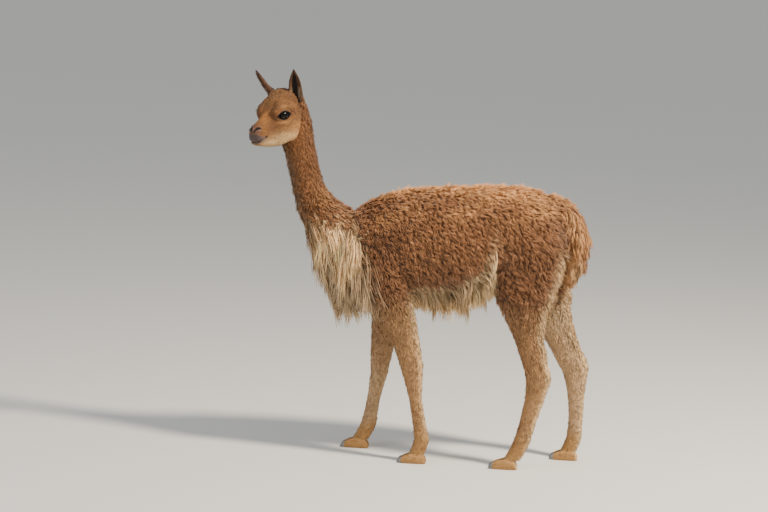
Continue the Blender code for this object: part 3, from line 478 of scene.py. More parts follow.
@dataclass
class Body:
    """Trunk, neck, legs, feet and tail: the flesh under the wool."""

    voxel: float = 0.0073
    rounds: int = 10
    foot_voxel: float = 0.0026
    trunk_egg: float = 0.10
    # Short hair is this much shallower than the gap between skin and solid.
    hair_share: float = 0.22
    foot_rounds: int = 4
    foot_length: float = 0.084
    foot_height: float = 0.033
    # Height of a toe's middle and its half height, as shares of the foot's height.
    toe_middle: float = 0.36
    toe_half_height: float = 0.60
    sole_gap: float = 0.0006
    toe_half_width: float = 0.0135
    toe_apart: float = 0.0145
    toe_splay: float = 0.003
    fetlock: float = 0.110
    # Facets round trunk, neck and limbs.
    facets: tuple[int, int, int] = (64, 48, 32)
    # Each leg's sections, its side and where its heel stands.
    legs: dict[str, tuple[Stations, Side, float, float]] = field(
        default_factory=lambda: {
            "fore_left": (FORELEG_NEAR, Side.LEFT, 0.062, -0.095),
            "fore_right": (FORELEG_FAR, Side.RIGHT, -0.142, 0.095),
            "hind_left": (HINDLEG_NEAR, Side.LEFT, 0.356, -0.100),
            "hind_right": (HINDLEG_FAR, Side.RIGHT, 0.546, 0.100),
        }
    )
    toe: Stations = (
        (0.0, 0.22, 0.24),
        (0.04, 0.56, 0.52),
        (0.13, 0.88, 0.80),
        (0.35, 1.0, 1.0),
        (0.65, 0.98, 0.90),
        (0.88, 0.80, 0.66),
        (1.0, 0.45, 0.40),
    )

    def trunk(self) -> Thing:
        """Makes the trunk, its sections standing across X.

        Returns:
            The trunk.
        """
        rings = []
        for x, top, low, half_width, wool in resampled(TRUNK, 0.012):
            inset = wool * CORE_SHARE
            centre = Vector((x, 0, (top + low) / 2))
            across = Vector((0, half_width - inset, 0))
            rings.append((centre, across, Vector((0, 0, (top - low) / 2 - inset))))
        return loft("trunk", rings, self.facets[0], self.trunk_egg)

    def neck(self) -> Thing:
        """Makes the neck and the front of the chest, its sections lying flat.

        Returns:
            The neck.
        """
        rings = []
        for z, front, back, y, half_width, wool in resampled(NECK, 0.010):
            inset = wool * CORE_SHARE
            centre = Vector(((front + back) / 2, y, z))
            across = Vector(((back - front) / 2 - inset, 0, 0))
            rings.append((centre, across, Vector((0, half_width - inset, 0))))
        return loft("neck", rings, self.facets[1])

    def leg(self, name: str, top: float = 9.0) -> Thing:
        """Makes one leg, its sections lying flat.

        Args:
            name: which leg.
            top: the height up to which it is made.

        Returns:
            The leg.
        """
        stations, side, _, _ = self.legs[name]
        rings = []
        for z, front, back, y, half_width, hair, wool in resampled(stations, 0.008):
            inset = hair * (wool * CORE_SHARE + (1 - wool) * self.hair_share)
            centre = Vector(((front + back) / 2, side.value * y, z))
            across = Vector(((back - front) / 2 - inset, 0, 0))
            if z <= top:
                rings.append((centre, across, Vector((0, half_width - inset, 0))))
        return loft(name, rings, self.facets[2])

    def foot(self, name: str) -> Thing:
        """Makes a foot: two toes with flat soles under the pastern.

        Args:
            name: which leg it ends.

        Returns:
            The foot, one closed skin.
        """
        _, _, heel_x, heel_y = self.legs[name]
        pieces = [self.leg(name, self.fetlock)]
        for apart in (-1, 1):
            y = heel_y + apart * self.toe_apart
            rings = []
            for t, wide, high in resampled(self.toe, 0.06):
                centre = Vector((heel_x - self.foot_length * t, y + apart * self.toe_splay * t, 0))
                centre.z = self.foot_height * self.toe_middle * high
                across = Vector((0, self.toe_half_width * wide, 0))
                half_height = self.foot_height * self.toe_half_height * high
                rings.append((centre, across, Vector((0, 0, half_height))))
            pieces.append(loft("toe", rings, self.facets[2]))
        foot = fused(joined(pieces, "foot"), self.foot_voxel, self.foot_rounds)
        points = corners_of(foot.data)
        # The sole is flat but for a slight rise, so that its faces keep some size.
        rise = 0.02 * np.maximum(0, 0.004 - points[:, 2])
        points[:, 2] = np.maximum(points[:, 2], self.sole_gap + rise)
        set_corners(foot.data, points)
        return foot

    def tail(self) -> Thing:
        """Makes the core of the tail, which follows its bend.

        Returns:
            The tail.
        """
        rows = resampled(TAIL, 0.010)
        rings = []
        for i, (x, z, wide, thick) in enumerate(rows):
            before, after = rows[max(i - 1, 0)], rows[min(i + 1, len(rows) - 1)]
            along = Vector((after[0] - before[0], 0, after[1] - before[1])).normalized()
            across = Vector((0, 1, 0)).cross(along)
            rings.append((Vector((x, 0, z)), Vector((0, wide, 0)), across * thick))
        return loft("tail", rings, self.facets[2])

    def build(self) -> list[Thing]:
        """Makes the body and its four feet.

        Returns:
            Closed skins that overlap: the body, then the feet.
        """
        pieces = [self.trunk(), self.neck(), self.tail()]
        pieces += [self.leg(name) for name in self.legs]
        body = fused(joined(pieces, "body"), self.voxel, self.rounds)
        return [body] + [self.foot(name) for name in self.legs]


@dataclass
class Head:
    """The head with its lids, lips, nostrils and ears."""

    at: Vector = field(default_factory=lambda: Vector((-0.420, -0.004, 0.987)))
    turn: float = 56.0
    full: float = 0.82
    voxel: float = 0.0021
    blend_rounds: int = 44
    lid_voxel: float = 0.00175
    lid_rounds: int = 5
    eye_radius: float = 0.0205
    eye_at: tuple[float, float, float] = (0.096, 0.0365, 0.109)
    eye_forward: float = 26.0
    lid_thickness: float = 0.0026
    socket_gap: float = 0.0002
    lid_opening: tuple[float, float] = (0.0200, 0.0136)
    # The upper lid hangs lower than the lower lid stands away.
    upper_lid: float = 0.84
    # The rear corner of the eye stands higher than the front one.
    lid_tilt: float = 11.0
    # Over 1, the corners of the eye are drawn to points.
    lid_pointed: float = 1.25
    nostril: Stations = (
        (0.1888, 0.0050, 0.0555),
        (0.1868, 0.0095, 0.0630),
        (0.1835, 0.0145, 0.0658),
        (0.1795, 0.0185, 0.0645),
    )
    nostril_depth: float = 0.0075
    nostril_width: float = 0.0042
    # Ridges beside a groove: how far they stand off, their width and their height.
    nostril_rim: tuple[float, float, float] = (0.0072, 0.0034, 0.0014)
    lip_roll: tuple[float, float, float] = (0.0065, 0.0040, 0.0016)
    mouth_front: tuple[float, float] = (0.1855, 0.0210)
    mouth_corner: tuple[float, float] = (0.157, 0.0400)
    mouth_side: float = 0.0262
    lip_depth: float = 0.0042
    lip_width: float = 0.0026
    # The fold under the nose: its height where the muzzle ends, width and depth.
    nose_fold: tuple[float, float, float] = (0.0505, 0.0022, 0.0016)
    # The swelling of the upper lip: its height, half height and depth.
    lip_swelling: tuple[float, float, float] = (0.036, 0.008, 0.0014)
    # The split of the upper lip: its half width and depth.
    lip_split: tuple[float, float] = (0.0014, 0.0022)
    # Folds of the lids: half length and half height of their ring, and their depth.
    fold_reach: tuple[float, float] = (0.0330, 0.0212)
    fold_depth: float = 0.0017
    ear_length: float = 0.110
    ear_facing: float = 42.0
    ear_bend: float = 0.10
    ear_wall: float = 0.0026
    # How much fuller the back of the ear is at its root, where its muscle sits.
    ear_base: float = 0.0065
    ears: dict[Side, tuple[Vector, tuple[float, float]]] = field(
        default_factory=lambda: {
            Side.LEFT: (Vector((0.034, 0.040, 0.142)), (0.30, 0.10)),
            Side.RIGHT: (Vector((0.042, 0.043, 0.150)), (0.55, 0.70)),
        }
    )

    def place(self) -> Matrix:
        """The head's place: its X runs ahead along the muzzle, its Y to the animal's left."""
        turn = Matrix.Rotation(math.radians(180.0 + self.turn), 4, "Z")
        return Matrix.Translation(self.at) @ turn

    def eye_place(self, side: Side) -> Matrix:
        """Finds an eye's place in the head's frame.

        Args:
            side: which eye.

        Returns:
            Its frame, whose X looks out of the head.
        """
        ahead, out, height = self.eye_at
        angle = math.radians(90.0 - self.eye_forward) * -side.value
        move = Matrix.Translation((ahead, -side.value * out, height))
        return move @ Matrix.Rotation(angle, 4, "Z")

    def lid_place(self, side: Side) -> Matrix:
        """Finds the frame of an eye's lids: X looks out, Y runs to the rear corner, Z up."""
        turn = Matrix.Rotation(math.radians(self.lid_tilt) * -side.value, 4, "X")
        return self.eye_place(side) @ turn @ Matrix.Scale(-side.value, 4, (0, 1, 0))

    def ear_frame(self, side: Side) -> tuple[Vector, Vector, Vector, Vector]:
        """Finds the frame of an ear.

        Args:
            side: which ear.

        Returns:
            Its root, its axis, the way its cup faces and the way across it.
        """
        root, (ahead_lean, out_lean) = self.ears[side]
        axis = Vector((ahead_lean, -side.value * out_lean, 1.0)).normalized()
        facing = math.radians(self.ear_facing)
        front = Vector((math.cos(facing), -side.value * math.sin(facing), 0.0))
        front = (front - axis * front.dot(axis)).normalized()
        return Vector((root.x, -side.value * root.y, root.z)), axis, front, axis.cross(front)

    def ear_parts(self, at: Rows, normals: Rows) -> tuple[Rows, ...]:
        """Places points on the ears.

        Args:
            at: places in the head's frame.
            normals: normals in the head's frame.

        Returns:
            Shares of the length and of the half width, and True inside the cup.
        """
        along, off = np.zeros(len(at)), np.zeros(len(at))
        inside = np.zeros(len(at), bool)
        table = np.array(EAR)
        for side in Side:
            rows = at[:, 1] * side.value < 0
            root, axis, front, across = (np.array(v) for v in self.ear_frame(side))
            local = at[rows] - root
            share = np.clip(local @ axis / self.ear_length, 0, 1)
            bend = self.ear_bend * share**2 * self.ear_length
            wide = np.interp(share, table[:, 0], table[:, 1])
            deep = np.interp(share, table[:, 0], table[:, 2])
            ahead = local @ front + bend
            sideways = local @ across
            to_middle = (normals[rows] @ across) * -sideways + (normals[rows] @ front) * (deep - ahead)
            along[rows] = share
            off[rows] = sideways / np.maximum(wide, 0.002)
            inside[rows] = (to_middle > 0) & (normals[rows] @ front > -0.25)
        return along, off, inside

    def lid_gap(self, side: Side) -> Thing:
        """Makes the cutter between the lids: a lens shape, pushed in from outside the eye.

        Args:
            side: which eye.

        Returns:
            The cutter, in the head's frame.
        """
        half_length, half_height = self.lid_opening
        steps = 16
        bm = bmesh.new()
        near, far = self.eye_radius * 0.45, self.eye_radius * 2.4
        rim = []
        for k in range(2 * steps):
            c, s = math.cos(math.pi * k / steps), math.sin(math.pi * k / steps)
            lens = math.copysign(abs(s) ** self.lid_pointed, s) * (self.upper_lid if s > 0 else 1.0)
            rim.append(bm.verts.new((near, half_length * c, half_height * lens)))
        made = bmesh.ops.extrude_face_region(bm, geom=[bm.faces.new(rim)])
        moved = [g for g in made["geom"] if isinstance(g, bmesh.types.BMVert)]
        bmesh.ops.translate(bm, verts=moved, vec=(far - near, 0, 0))
        bmesh.ops.transform(bm, matrix=self.lid_place(side), verts=bm.verts)
        return object_from(bm, "lid_gap")

    def mouth_path(self) -> Rows:
        """Finds the line of the mouth round the muzzle.

        Returns:
            Places from corner to corner, in the head's frame.
        """
        turn = np.radians(np.linspace(-90, 90, 41))
        c = np.abs(np.cos(turn)) ** 0.7
        s = np.sin(turn)
        ahead = self.mouth_corner[0] + (self.mouth_front[0] - self.mouth_corner[0]) * c
        rise = self.mouth_corner[1] - self.mouth_front[1]
        height = self.mouth_front[1] + rise * (1 - c) ** 1.3
        side = self.mouth_side * np.sign(s) * np.abs(s) ** 0.8
        return np.stack([ahead, side, height], axis=1)

    def shape(self) -> Thing:
        """Makes the head without its ears.

        Returns:
            The head, in its own frame.
        """
        rings = []
        for a, top, low, wide in resampled(SKULL, 0.004):
            centre = Vector((a, 0, (top + low) / 2))
            rings.append((centre, Vector((0, wide, 0)), Vector((0, 0, (top - low) / 2))))
        pieces = [loft("head", rings, 64, 0.05, self.full)]
        for a, s, h, long, wide, high in SKULL_SWELLINGS:
            for side in Side:
                place = Matrix.Translation((a, side.value * s, h))
                pieces.append(ball("swelling", place, (long, wide, high), (32, 20)))
        head = fused(joined(pieces, "head"), self.voxel, self.blend_rounds)
        for side in Side:
            place = self.eye_place(side)
            lid = self.eye_radius + self.lid_thickness
            boolean(head, ball("lids", place, (lid,) * 3, (48, 32)), Operation.JOIN)
        for side in Side:
            place = self.eye_place(side)
            socket = self.eye_radius + self.socket_gap
            boolean(head, ball("socket", place, (socket,) * 3, (48, 32)), Operation.CUT)
            boolean(head, self.lid_gap(side), Operation.CUT)
        return fused(head, self.lid_voxel, self.lid_rounds)

    def sculpt(self, head: Thing) -> None:
        """Presses the lips, nostrils and the split of the upper lip into the head's surface.

        Args:
            head: the head, in its own frame.
        """
        points, normals = corners_of(head.data), normals_of(head.data)
        move = np.zeros(len(points))
        far, _ = distance_to_path(points, self.mouth_path())
        move -= self.lip_depth * hill(far, self.lip_width)
        off, wide, high = self.lip_roll
        move += high * hill(far - off, wide)
        for side in Side:
            path = np.array(self.nostril) * (1, -side.value, 1)
            far, along = distance_to_path(points, path)
            width = self.nostril_width * (0.55 + 0.75 * np.sin(math.pi * np.clip(along + 0.1, 0, 1)))
            move -= self.nostril_depth * hill(far, width)
            off, wide, high = self.nostril_rim
            move += high * hill(far - off, wide)
            eye = through(self.lid_place(side).inverted(), points)
            ring = np.hypot(eye[:, 1] / self.fold_reach[0], eye[:, 2] / self.fold_reach[1])
            fold = hill(ring - 1, 0.10) * smooth(eye[:, 0], 0.0, 0.006)
            fold *= 0.15 + 0.85 * smooth(eye[:, 1], -0.018, 0.006)
            above = smooth(eye[:, 2], -0.003, 0.006)
            move -= fold * (self.fold_depth * above + 0.4 * self.fold_depth * (1 - above))
            brow = hill(ring - 1.32, 0.16) * smooth(eye[:, 0], 0.0, 0.006)
            move += 0.8 * self.fold_depth * brow * above
        ahead, across, height = points.T
        at, wide, deep = self.nose_fold
        fold = np.abs(height - at - 0.25 * (ahead - 0.185))
        move -= deep * hill(fold, wide) * smooth(ahead, 0.168, 0.178)
        at, wide, high = self.lip_swelling
        move += high * hill(height - at, wide) * smooth(ahead, 0.165, 0.178)
        wide, deep = self.lip_split
        split = hill(across, wide) * smooth(ahead, 0.180, 0.186)
        split *= smooth(height, 0.036, 0.040) * (1 - smooth(height, 0.056, 0.062))
        move -= deep * split
        set_corners(head.data, points + normals * move[:, None])

    def ear(self, side: Side) -> Thing:
        """Makes one ear: a leaf whose front is hollowed to a cup.

        Args:
            side: which ear.

        Returns:
            The ear, in the head's frame.
        """
        root, axis, front, across = self.ear_frame(side)
        outside, inside = [], []
        for share, wide, deep in resampled(EAR, 0.04):
            bend = self.ear_bend * share * share * self.ear_length
            centre = root + axis * (share * self.ear_length) - front * bend
            fuller = self.ear_base * max(0.0, 1 - share / 0.5) ** 1.5
            outside.append((centre - front * fuller, across * (wide + 0.4 * fuller), front * (deep + fuller)))
            if share >= 0.05:
                deep_in = deep * 1.15
                step = front * (deep_in - deep + self.ear_wall * 1.3)
                wide_in = across * max(wide - self.ear_wall, 0.0008)
                inside.append((centre + step, wide_in, front * deep_in))
        ear = loft("ear", outside, 40)
        return boolean(ear, loft("cup", inside, 40), Operation.CUT, exact=True)

    def build(self) -> list[Thing]:
        """Makes the head and both ears, in the animal's place.

        Returns:
            Closed skins that overlap: the head, then the left and the right ear.
        """
        head = self.shape()
        self.sculpt(head)
        things = [head, self.ear(Side.LEFT), self.ear(Side.RIGHT)]
        for thing in things:
            thing.data.transform(self.place())
        return things


class Surface:
    """Arrays and a search tree over one mesh, for finding places on it."""

    def __init__(self, thing: Thing) -> None:
        """Reads the mesh.

        Args:
            thing: an object whose faces are triangles or quads.
        """
        mesh = thing.data
        mesh.calc_loop_triangles()
        self.faces = read(mesh.loop_triangles, "vertices", 3, int)
        self.points = corners_of(mesh)
        self.normals = normals_of(mesh)
        self.corners = self.points[self.faces]
        sides = self.corners[:, 1:] - self.corners[:, :1]
        self.areas = np.linalg.norm(np.cross(sides[:, 0], sides[:, 1]), axis=1) / 2
        self.centres = self.corners.mean(axis=1)
        self.facing = unit(self.normals[self.faces].mean(axis=1))
        self.tree = BVHTree.FromPolygons(self.points.tolist(), self.faces.tolist())

    def scatter(
        self, weight: Rows, count: int, draws: np.random.Generator
    ) -> tuple[Rows, Rows, Rows]:
        """Draws places on the surface.

        Args:
            weight: how dense they are on each face.
            count: how many to draw.
            draws: the source of random numbers.

        Returns:
            The places, the normals there, and the faces that hold them.
        """
        share = self.areas * weight
        picked = draws.choice(len(share), size=count, p=share / share.sum())
        u, v = draws.random((2, count))
        over = u + v > 1
        u[over], v[over] = 1 - u[over], 1 - v[over]
        mix = np.stack([1 - u - v, u, v], axis=1)
        places = np.einsum("nk,nkj->nj", mix, self.corners[picked])
        normals = unit(np.einsum("nk,nkj->nj", mix, self.normals[self.faces[picked]]))
        return places, normals, picked

    def distance(self, points: Rows) -> Rows:
        """Finds how far each point is from the surface."""
        find = self.tree.find_nearest
        return np.array([find(Vector(p))[3] for p in points])


@dataclass
class Skin:
    """The one skin of the animal, which stands for all its solids of flesh."""

    body: Body
    head: Head
    # How near a vertex is to the head's mesh to be the head's, and the height above which it may be.
    near: float = 0.0012
    head_above: float = 0.96
    unwrap_faces: int = 6000
    angle_limit: float = 60.0

    def build(self) -> Thing:
        """Fuses body, feet, head and ears in one closed skin.

        Returns:
            The skin; it keeps which vertices are the head's and the ears'.
        """
        body_parts = self.body.build()
        head, left, right = self.head.build()
        marks = [Surface(head), Surface(left), Surface(right)]
        skin = body_parts[0]
        for piece in [*body_parts[1:], head, left, right]:
            boolean(skin, piece, Operation.JOIN)
        skin.name = "skin"
        points = corners_of(skin.data)
        self.is_head = np.zeros(len(points), bool)
        self.is_ear = np.zeros(len(points), bool)
        region = points[:, 2] > self.head_above
        close = [m.distance(points[region]) < self.near for m in marks]
        self.is_ear[region] = (close[1] | close[2]) & ~close[0]
        self.is_head[region] = close[0]
        self.head_in = through(self.head.place().inverted(), points)
        return skin

    def unwrapped(self, skin: Thing) -> tuple[BVHTree, Rows]:
        """Unwraps a coarser copy of the skin.

        Args:
            skin: the finished skin.

        Returns:
            A tree over the copy's triangles and the flat places of their corners.
        """
        copy = placed("unwrap", skin.data.copy())
        thin = copy.modifiers.new("thin", "DECIMATE")
        thin.ratio = self.unwrap_faces / max(len(copy.data.polygons), 1)
        bake_modifiers(copy)
        bm = bmesh.new()
        bm.from_mesh(copy.data)
        bmesh.ops.triangulate(bm, faces=bm.faces)
        bm.to_mesh(copy.data)
        bm.free()
        copy.data.uv_layers.new(name="OFBake")
        for other in bpy.context.selected_objects:
            other.select_set(False)
        bpy.context.view_layer.objects.active = copy
        copy.select_set(True)
        bpy.ops.object.mode_set(mode="EDIT")
        bpy.ops.mesh.select_all(action="SELECT")
        limit = math.radians(self.angle_limit)
        bpy.ops.uv.smart_project(angle_limit=limit, island_margin=0.004)
        bpy.ops.object.mode_set(mode="OBJECT")
        mesh = copy.data
        flat = read(mesh.uv_layers["OFBake"].data, "uv", 2).reshape(-1, 3, 2)
        index = read(mesh.loops, "vertex_index", 1, int).reshape(-1, 3)
        self.unwrap_corners = corners_of(mesh)[index]
        tree = BVHTree.FromPolygons(corners_of(mesh).tolist(), index.tolist())
        remove(copy)
        return tree, flat


class Places:
    """Weights that say which part of the animal a place on its skin belongs to."""

    # The slanted line between chest and neck: x and z at the throat and at the nape.
    throat_cut = (-0.410, 0.745)
    nape_cut = (-0.225, 0.852)
    # Where the brown of the side ends below: x and height.
    side_edge = (
        (-0.12, 0.540), (-0.030, 0.566), (0.079, 0.572), (0.160, 0.606), (0.208, 0.654), (0.262, 0.785),
    )
    # Where the pale hair of the flank ends behind: height and x.
    flank_edge = (
        (0.50, 0.205), (0.55, 0.226), (0.60, 0.220), (0.66, 0.221), (0.73, 0.243), (0.79, 0.262),
    )
    # The rear edge of the bib: height and x.
    bib_edge = ((0.440, -0.100), (0.486, -0.110), (0.563, -0.138), (0.692, -0.172), (0.743, -0.198))

    def __init__(self, points: Rows, normals: Rows, head_in: Rows) -> None:
        """Works out the weights.

        Args:
            points: places on the skin, one a row.
            normals: the skin's normals there.
            head_in: the same places in the head's frame.
        """
        self.points = points
        self.normals = normals
        self.head_in = head_in
        x, y, z = points.T
        # Neck above the slanted cut, with a ragged edge on the withers.
        (tx, tz), (nx, nz) = self.throat_cut, self.nape_cut
        line = tz + (x - tx) / (nx - tx) * (nz - tz)
        self.neck = smooth(z - line + 0.016 * waves(points, 0.05, 2), -0.045, 0.045)
        self.neck *= 1 - smooth(x + 0.016 * waves(points, 0.04, 14), nx - 0.035, nx + 0.055)
        # Legs below the trunk, without its underside, and which of them are forelegs.
        self.leg = 1 - smooth(z, 0.500, 0.580)
        self.leg *= 1 - smooth(-normals[:, 2], 0.75, 0.95)
        self.fore = 1 - smooth(x, 0.10, 0.14)
        self.outward = normals[:, 1] * np.sign(y)
        # Belly and flank between their edges, but not on the outer sides of the legs.
        edge = np.interp(x, *np.array(self.side_edge).T)
        ragged = 0.013 * waves(points, 0.030, 7)
        self.belly = (1 - smooth(z - edge + ragged, -0.042, 0.022)) * smooth(x, -0.16, -0.12)
        behind = x - np.interp(z, *np.array(self.flank_edge).T)
        under = smooth(-normals[:, 2], 0.35, 0.7)
        self.belly *= 1 - smooth(behind - 0.06 * under, -0.008, 0.010)
        on_leg = self.leg * smooth(self.outward, -0.1, 0.4) * (1 - under)
        on_leg *= 1 - smooth(x, -0.010, 0.020) * (1 - smooth(x, 0.19, 0.22))
        self.belly *= (1 - on_leg) * smooth(z, 0.44, 0.47)
        self.belly *= 1 - smooth(self.outward, 0.0, 0.4) * (1 - smooth(x, -0.035, -0.010))
        # Bib ahead of its rear edge.
        rear = np.interp(z, *np.array(self.bib_edge).T)
        drift = 0.012 * waves(points, 0.03, 4)
        self.bib = (1 - smooth(x - rear + drift, -0.022, 0.014)) * (1 - smooth(z + drift, 0.715, 0.775))
        self.bib *= smooth(z, 0.47, 0.50)
        # Tail round its own core, and thighs but for the tail.
        bend = np.array(TAIL)[::-1]
        middle = np.stack([np.interp(z, bend[:, 1], bend[:, 0]), y * 0, z], axis=1)
        far = np.linalg.norm(points - middle, axis=1)
        self.tail = (1 - smooth(far, 0.046, 0.056)) * smooth(x, 0.435, 0.455) * smooth(z, 0.57, 0.60)
        self.thigh = smooth(x, 0.235, 0.285) * (1 - smooth(z, 0.66, 0.74)) * (1 - self.tail)


def mixed(tone: Rows, other: str, share: Rows) -> Rows:
    """Mixes a share of a hex colour into linear colours, one a row."""
    return tone * (1 - share[:, None]) + linear(other) * share[:, None]


@dataclass(frozen=True)
class Mark:
    """A soft patch of colour on both sides of the head, in the head's frame."""

    colour: str
    at: tuple[float, float, float]
    reach: tuple[float, float, float]
    strength: float = 1.0


@dataclass
class Markings:
    """The colours of skin and coat, the same function for both, some of them painted light and shade."""

    # The back is lighter and the low side darker than the side: partly the coat's own tone, partly painted
    # light from above and painted shade below.
    back: str = "D69C61"
    side: str = "956641"
    low_side_and_painted_shade: str = "815738"
    neck: str = "8D5E38"
    neck_front: str = "856747"
    # The bib's cream, darkened as painted shade on its lower part; the next colour lightens its top as
    # painted light.
    bib: str = "B89C78"
    bib_top_painted_light: str = "F6CE94"
    belly: str = "EBCC9B"
    leg_outer: str = "A17A51"
    leg_inner: str = "C6A781"
    leg_rear: str = "D8B381"
    shin: str = "A97C50"
    foot: str = "AB804E"
    tail: str = "BE8957"
    tail_end: str = "CEB188"
    face: str = "774E2A"
    ear_back: str = "4E3220"
    ear_cup: str = "1B1512"
    ear_side: str = "B49A7C"
    ear_rim: str = "63432B"
    bare: str = "4C3D39"
    nose: str = "6E4D3D"
    # Near-black: the eyes' own dark rims, and painted shade in the lid folds, the nostrils and the line of
    # the mouth.
    rim_dark_and_painted_shade: str = "120D0B"
    marks: tuple[Mark, ...] = (
        Mark("7B5530", (0.090, 0.0, 0.172), (0.080, 0.060, 0.042)),  # forehead
        Mark("6F4723", (0.070, 0.030, 0.160), (0.030, 0.030, 0.022), 0.8),  # sides of the crown
        Mark("9D6631", (0.150, 0.0, 0.100), (0.030, 0.018, 0.020), 0.9),  # bridge
        Mark("694526", (0.114, 0.044, 0.068), (0.040, 0.030, 0.030), 0.9),  # cheek
        Mark("B48047", (0.050, 0.045, 0.060), (0.045, 0.035, 0.034), 0.9),  # rear of the jaw
        Mark("CCA775", (0.075, 0.044, 0.030), (0.060, 0.040, 0.026), 0.95),  # jaw
        Mark("D2B07F", (0.130, 0.022, 0.014), (0.045, 0.030, 0.018), 0.95),  # chin
        Mark("835A32", (0.083, 0.051, 0.135), (0.022, 0.018, 0.0085), 0.9),  # above the eye
        Mark("9B6C3E", (0.108, 0.048, 0.134), (0.016, 0.016, 0.006), 0.7),  # before the brow
        # Painted shadow of the brow ridge over the brow's own brown, ahead of and above the eye.
        Mark("5E3D22", (0.127, 0.037, 0.131), (0.016, 0.016, 0.014), 0.85),  # inner brow
        Mark("6A4527", (0.132, 0.033, 0.099), (0.011, 0.014, 0.016), 0.85),  # corner of the eye
        Mark("9D7144", (0.100, 0.048, 0.086), (0.024, 0.020, 0.0065), 0.8),  # under the eye
        # Painted shade in the fold under the eye.
        Mark("6C4827", (0.116, 0.042, 0.074), (0.026, 0.016, 0.007), 0.6),  # fold under the eye
        Mark("654326", (0.138, 0.030, 0.074), (0.012, 0.014, 0.016), 0.6),  # side of the bridge
        Mark("744C24", (0.166, 0.023, 0.066), (0.013, 0.012, 0.014), 0.9),  # side of the muzzle
        Mark("6B4A35", (0.186, 0.008, 0.076), (0.012, 0.014, 0.010), 0.8),  # tip of the nose
    )
    # Half length and half height of the dark almond round each eye.
    eye_almond: tuple[float, float] = (0.0285, 0.0150)

    def head(self, at: Rows, head: Head) -> Rows:
        """Colours of the head, with painted shade in the folds above the eyes, in the nostrils and along the
        mouth.

        Args:
            at: places in the head's frame.
            head: the head, for its eyes, nostrils and mouth.

        Returns:
            Linear colours.
        """
        tone = np.tile(linear(self.face), (len(at), 1))
        fold = at * (1, 0, 1) + np.abs(at) * (0, 1, 0)
        for mark in self.marks:
            far = (((fold - mark.at) / mark.reach) ** 2).sum(axis=1)
            tone = mixed(tone, mark.colour, mark.strength * np.exp(-(far**1.4)))
        tone = tone * (1 + 0.09 * waves(at, 0.009, 8) + 0.06 * waves(at, 0.030, 9))[:, None]
        bare = self.bare_share(at, head)[:, None]
        low = (1 - smooth(at[:, 2], 0.044, 0.056))[:, None]
        tone = tone * (1 - bare) + (linear(self.bare) * low + linear(self.nose) * (1 - low)) * bare
        dark = self.eye_share(at, head)
        # Painted shade: a dark line along the fold above each eye, under the brow.
        for side in Side:
            eye = through(head.lid_place(side).inverted(), at)
            line = np.hypot(eye[:, 1] / head.fold_reach[0], eye[:, 2] / head.fold_reach[1])
            line = hill(line - 0.98, 0.13) * smooth(eye[:, 2], 0.0, 0.006)
            line *= 0.1 + 0.9 * smooth(eye[:, 1], -0.014, 0.008)
            dark = np.maximum(dark, 0.45 * line * smooth(eye[:, 0], 0.0, 0.006))
        # Painted shade: the hollows of the nostrils near-black.
        for side in Side:
            path = np.array(head.nostril) * (1, -side.value, 1)
            far, _ = distance_to_path(at, path)
            dark = np.maximum(dark, 1 - smooth(far, 0.0034, 0.0058))
        # Painted shade: the line of the mouth near-black, between the lips.
        far, _ = distance_to_path(at, head.mouth_path())
        dark = np.maximum(dark, 0.95 * (1 - smooth(far, 0.0018, 0.0042)))[:, None]
        return tone * (1 - dark) + linear(self.rim_dark_and_painted_shade) * dark

    def eye_share(self, at: Rows, head: Head) -> Rows:
        """Tells how near a place is to the dark rims and corners of the eyes.

        Args:
            at: places in the head's frame.
            head: the head, for its eyes.

        Returns:
            Weights from 0 to 1, dark.
        """
        half_length, half_height = self.eye_almond
        dark = np.zeros(len(at))
        for side in Side:
            eye = through(head.lid_place(side).inverted(), at)
            arch = 1 - (np.abs(eye[:, 1]) / half_length) ** 1.9
            gap = np.abs(eye[:, 2]) - half_height * np.maximum(arch, -0.4)
            near = (1 - smooth(gap, -0.0010, 0.0016)) * smooth(eye[:, 0], 0.002, 0.007)
            dark = np.maximum(dark, near * (arch > -0.35))
        return dark

    def bare_share(self, at: Rows, head: Head) -> Rows:
        """Tells how bare the nose, lips and rims of the eyes are.

        Args:
            at: places in the head's frame.
            head: the head, for its eyes, nostrils and mouth.

        Returns:
            Weights from 0, furred, to 1, bare.
        """
        far, _ = distance_to_path(at, head.mouth_path())
        above = at[:, 2] - np.interp(at[:, 0], (0.157, 0.185), (0.0385, 0.0205))
        top = at[:, 2] - np.interp(at[:, 0], (0.166, 0.180, 0.190), (0.0385, 0.0445, 0.0475))
        lip = smooth(above, -0.001, 0.002) * (1 - smooth(top, -0.002, 0.002)) * smooth(at[:, 0], 0.164, 0.172)
        bare = np.maximum(1 - smooth(far, 0.0034, 0.0054), lip)
        for side in Side:
            path = np.array(head.nostril) * (1, -side.value, 1)
            far, _ = distance_to_path(at, path)
            bare = np.maximum(bare, 1 - smooth(far, 0.0042, 0.0068))
        pad = smooth(at[:, 0], 0.178, 0.184) * smooth(at[:, 2], 0.048, 0.052)
        bare = np.maximum(bare, pad * (1 - smooth(at[:, 2], 0.066, 0.074)))
        return np.maximum(bare, self.eye_share(at, head))

    def body(self, at: Places) -> Rows:
        """Colours of trunk, neck, legs and tail.

        Args:
            at: places on the skin.

        Returns:
            Linear colours.
        """
        x, _, z = at.points.T

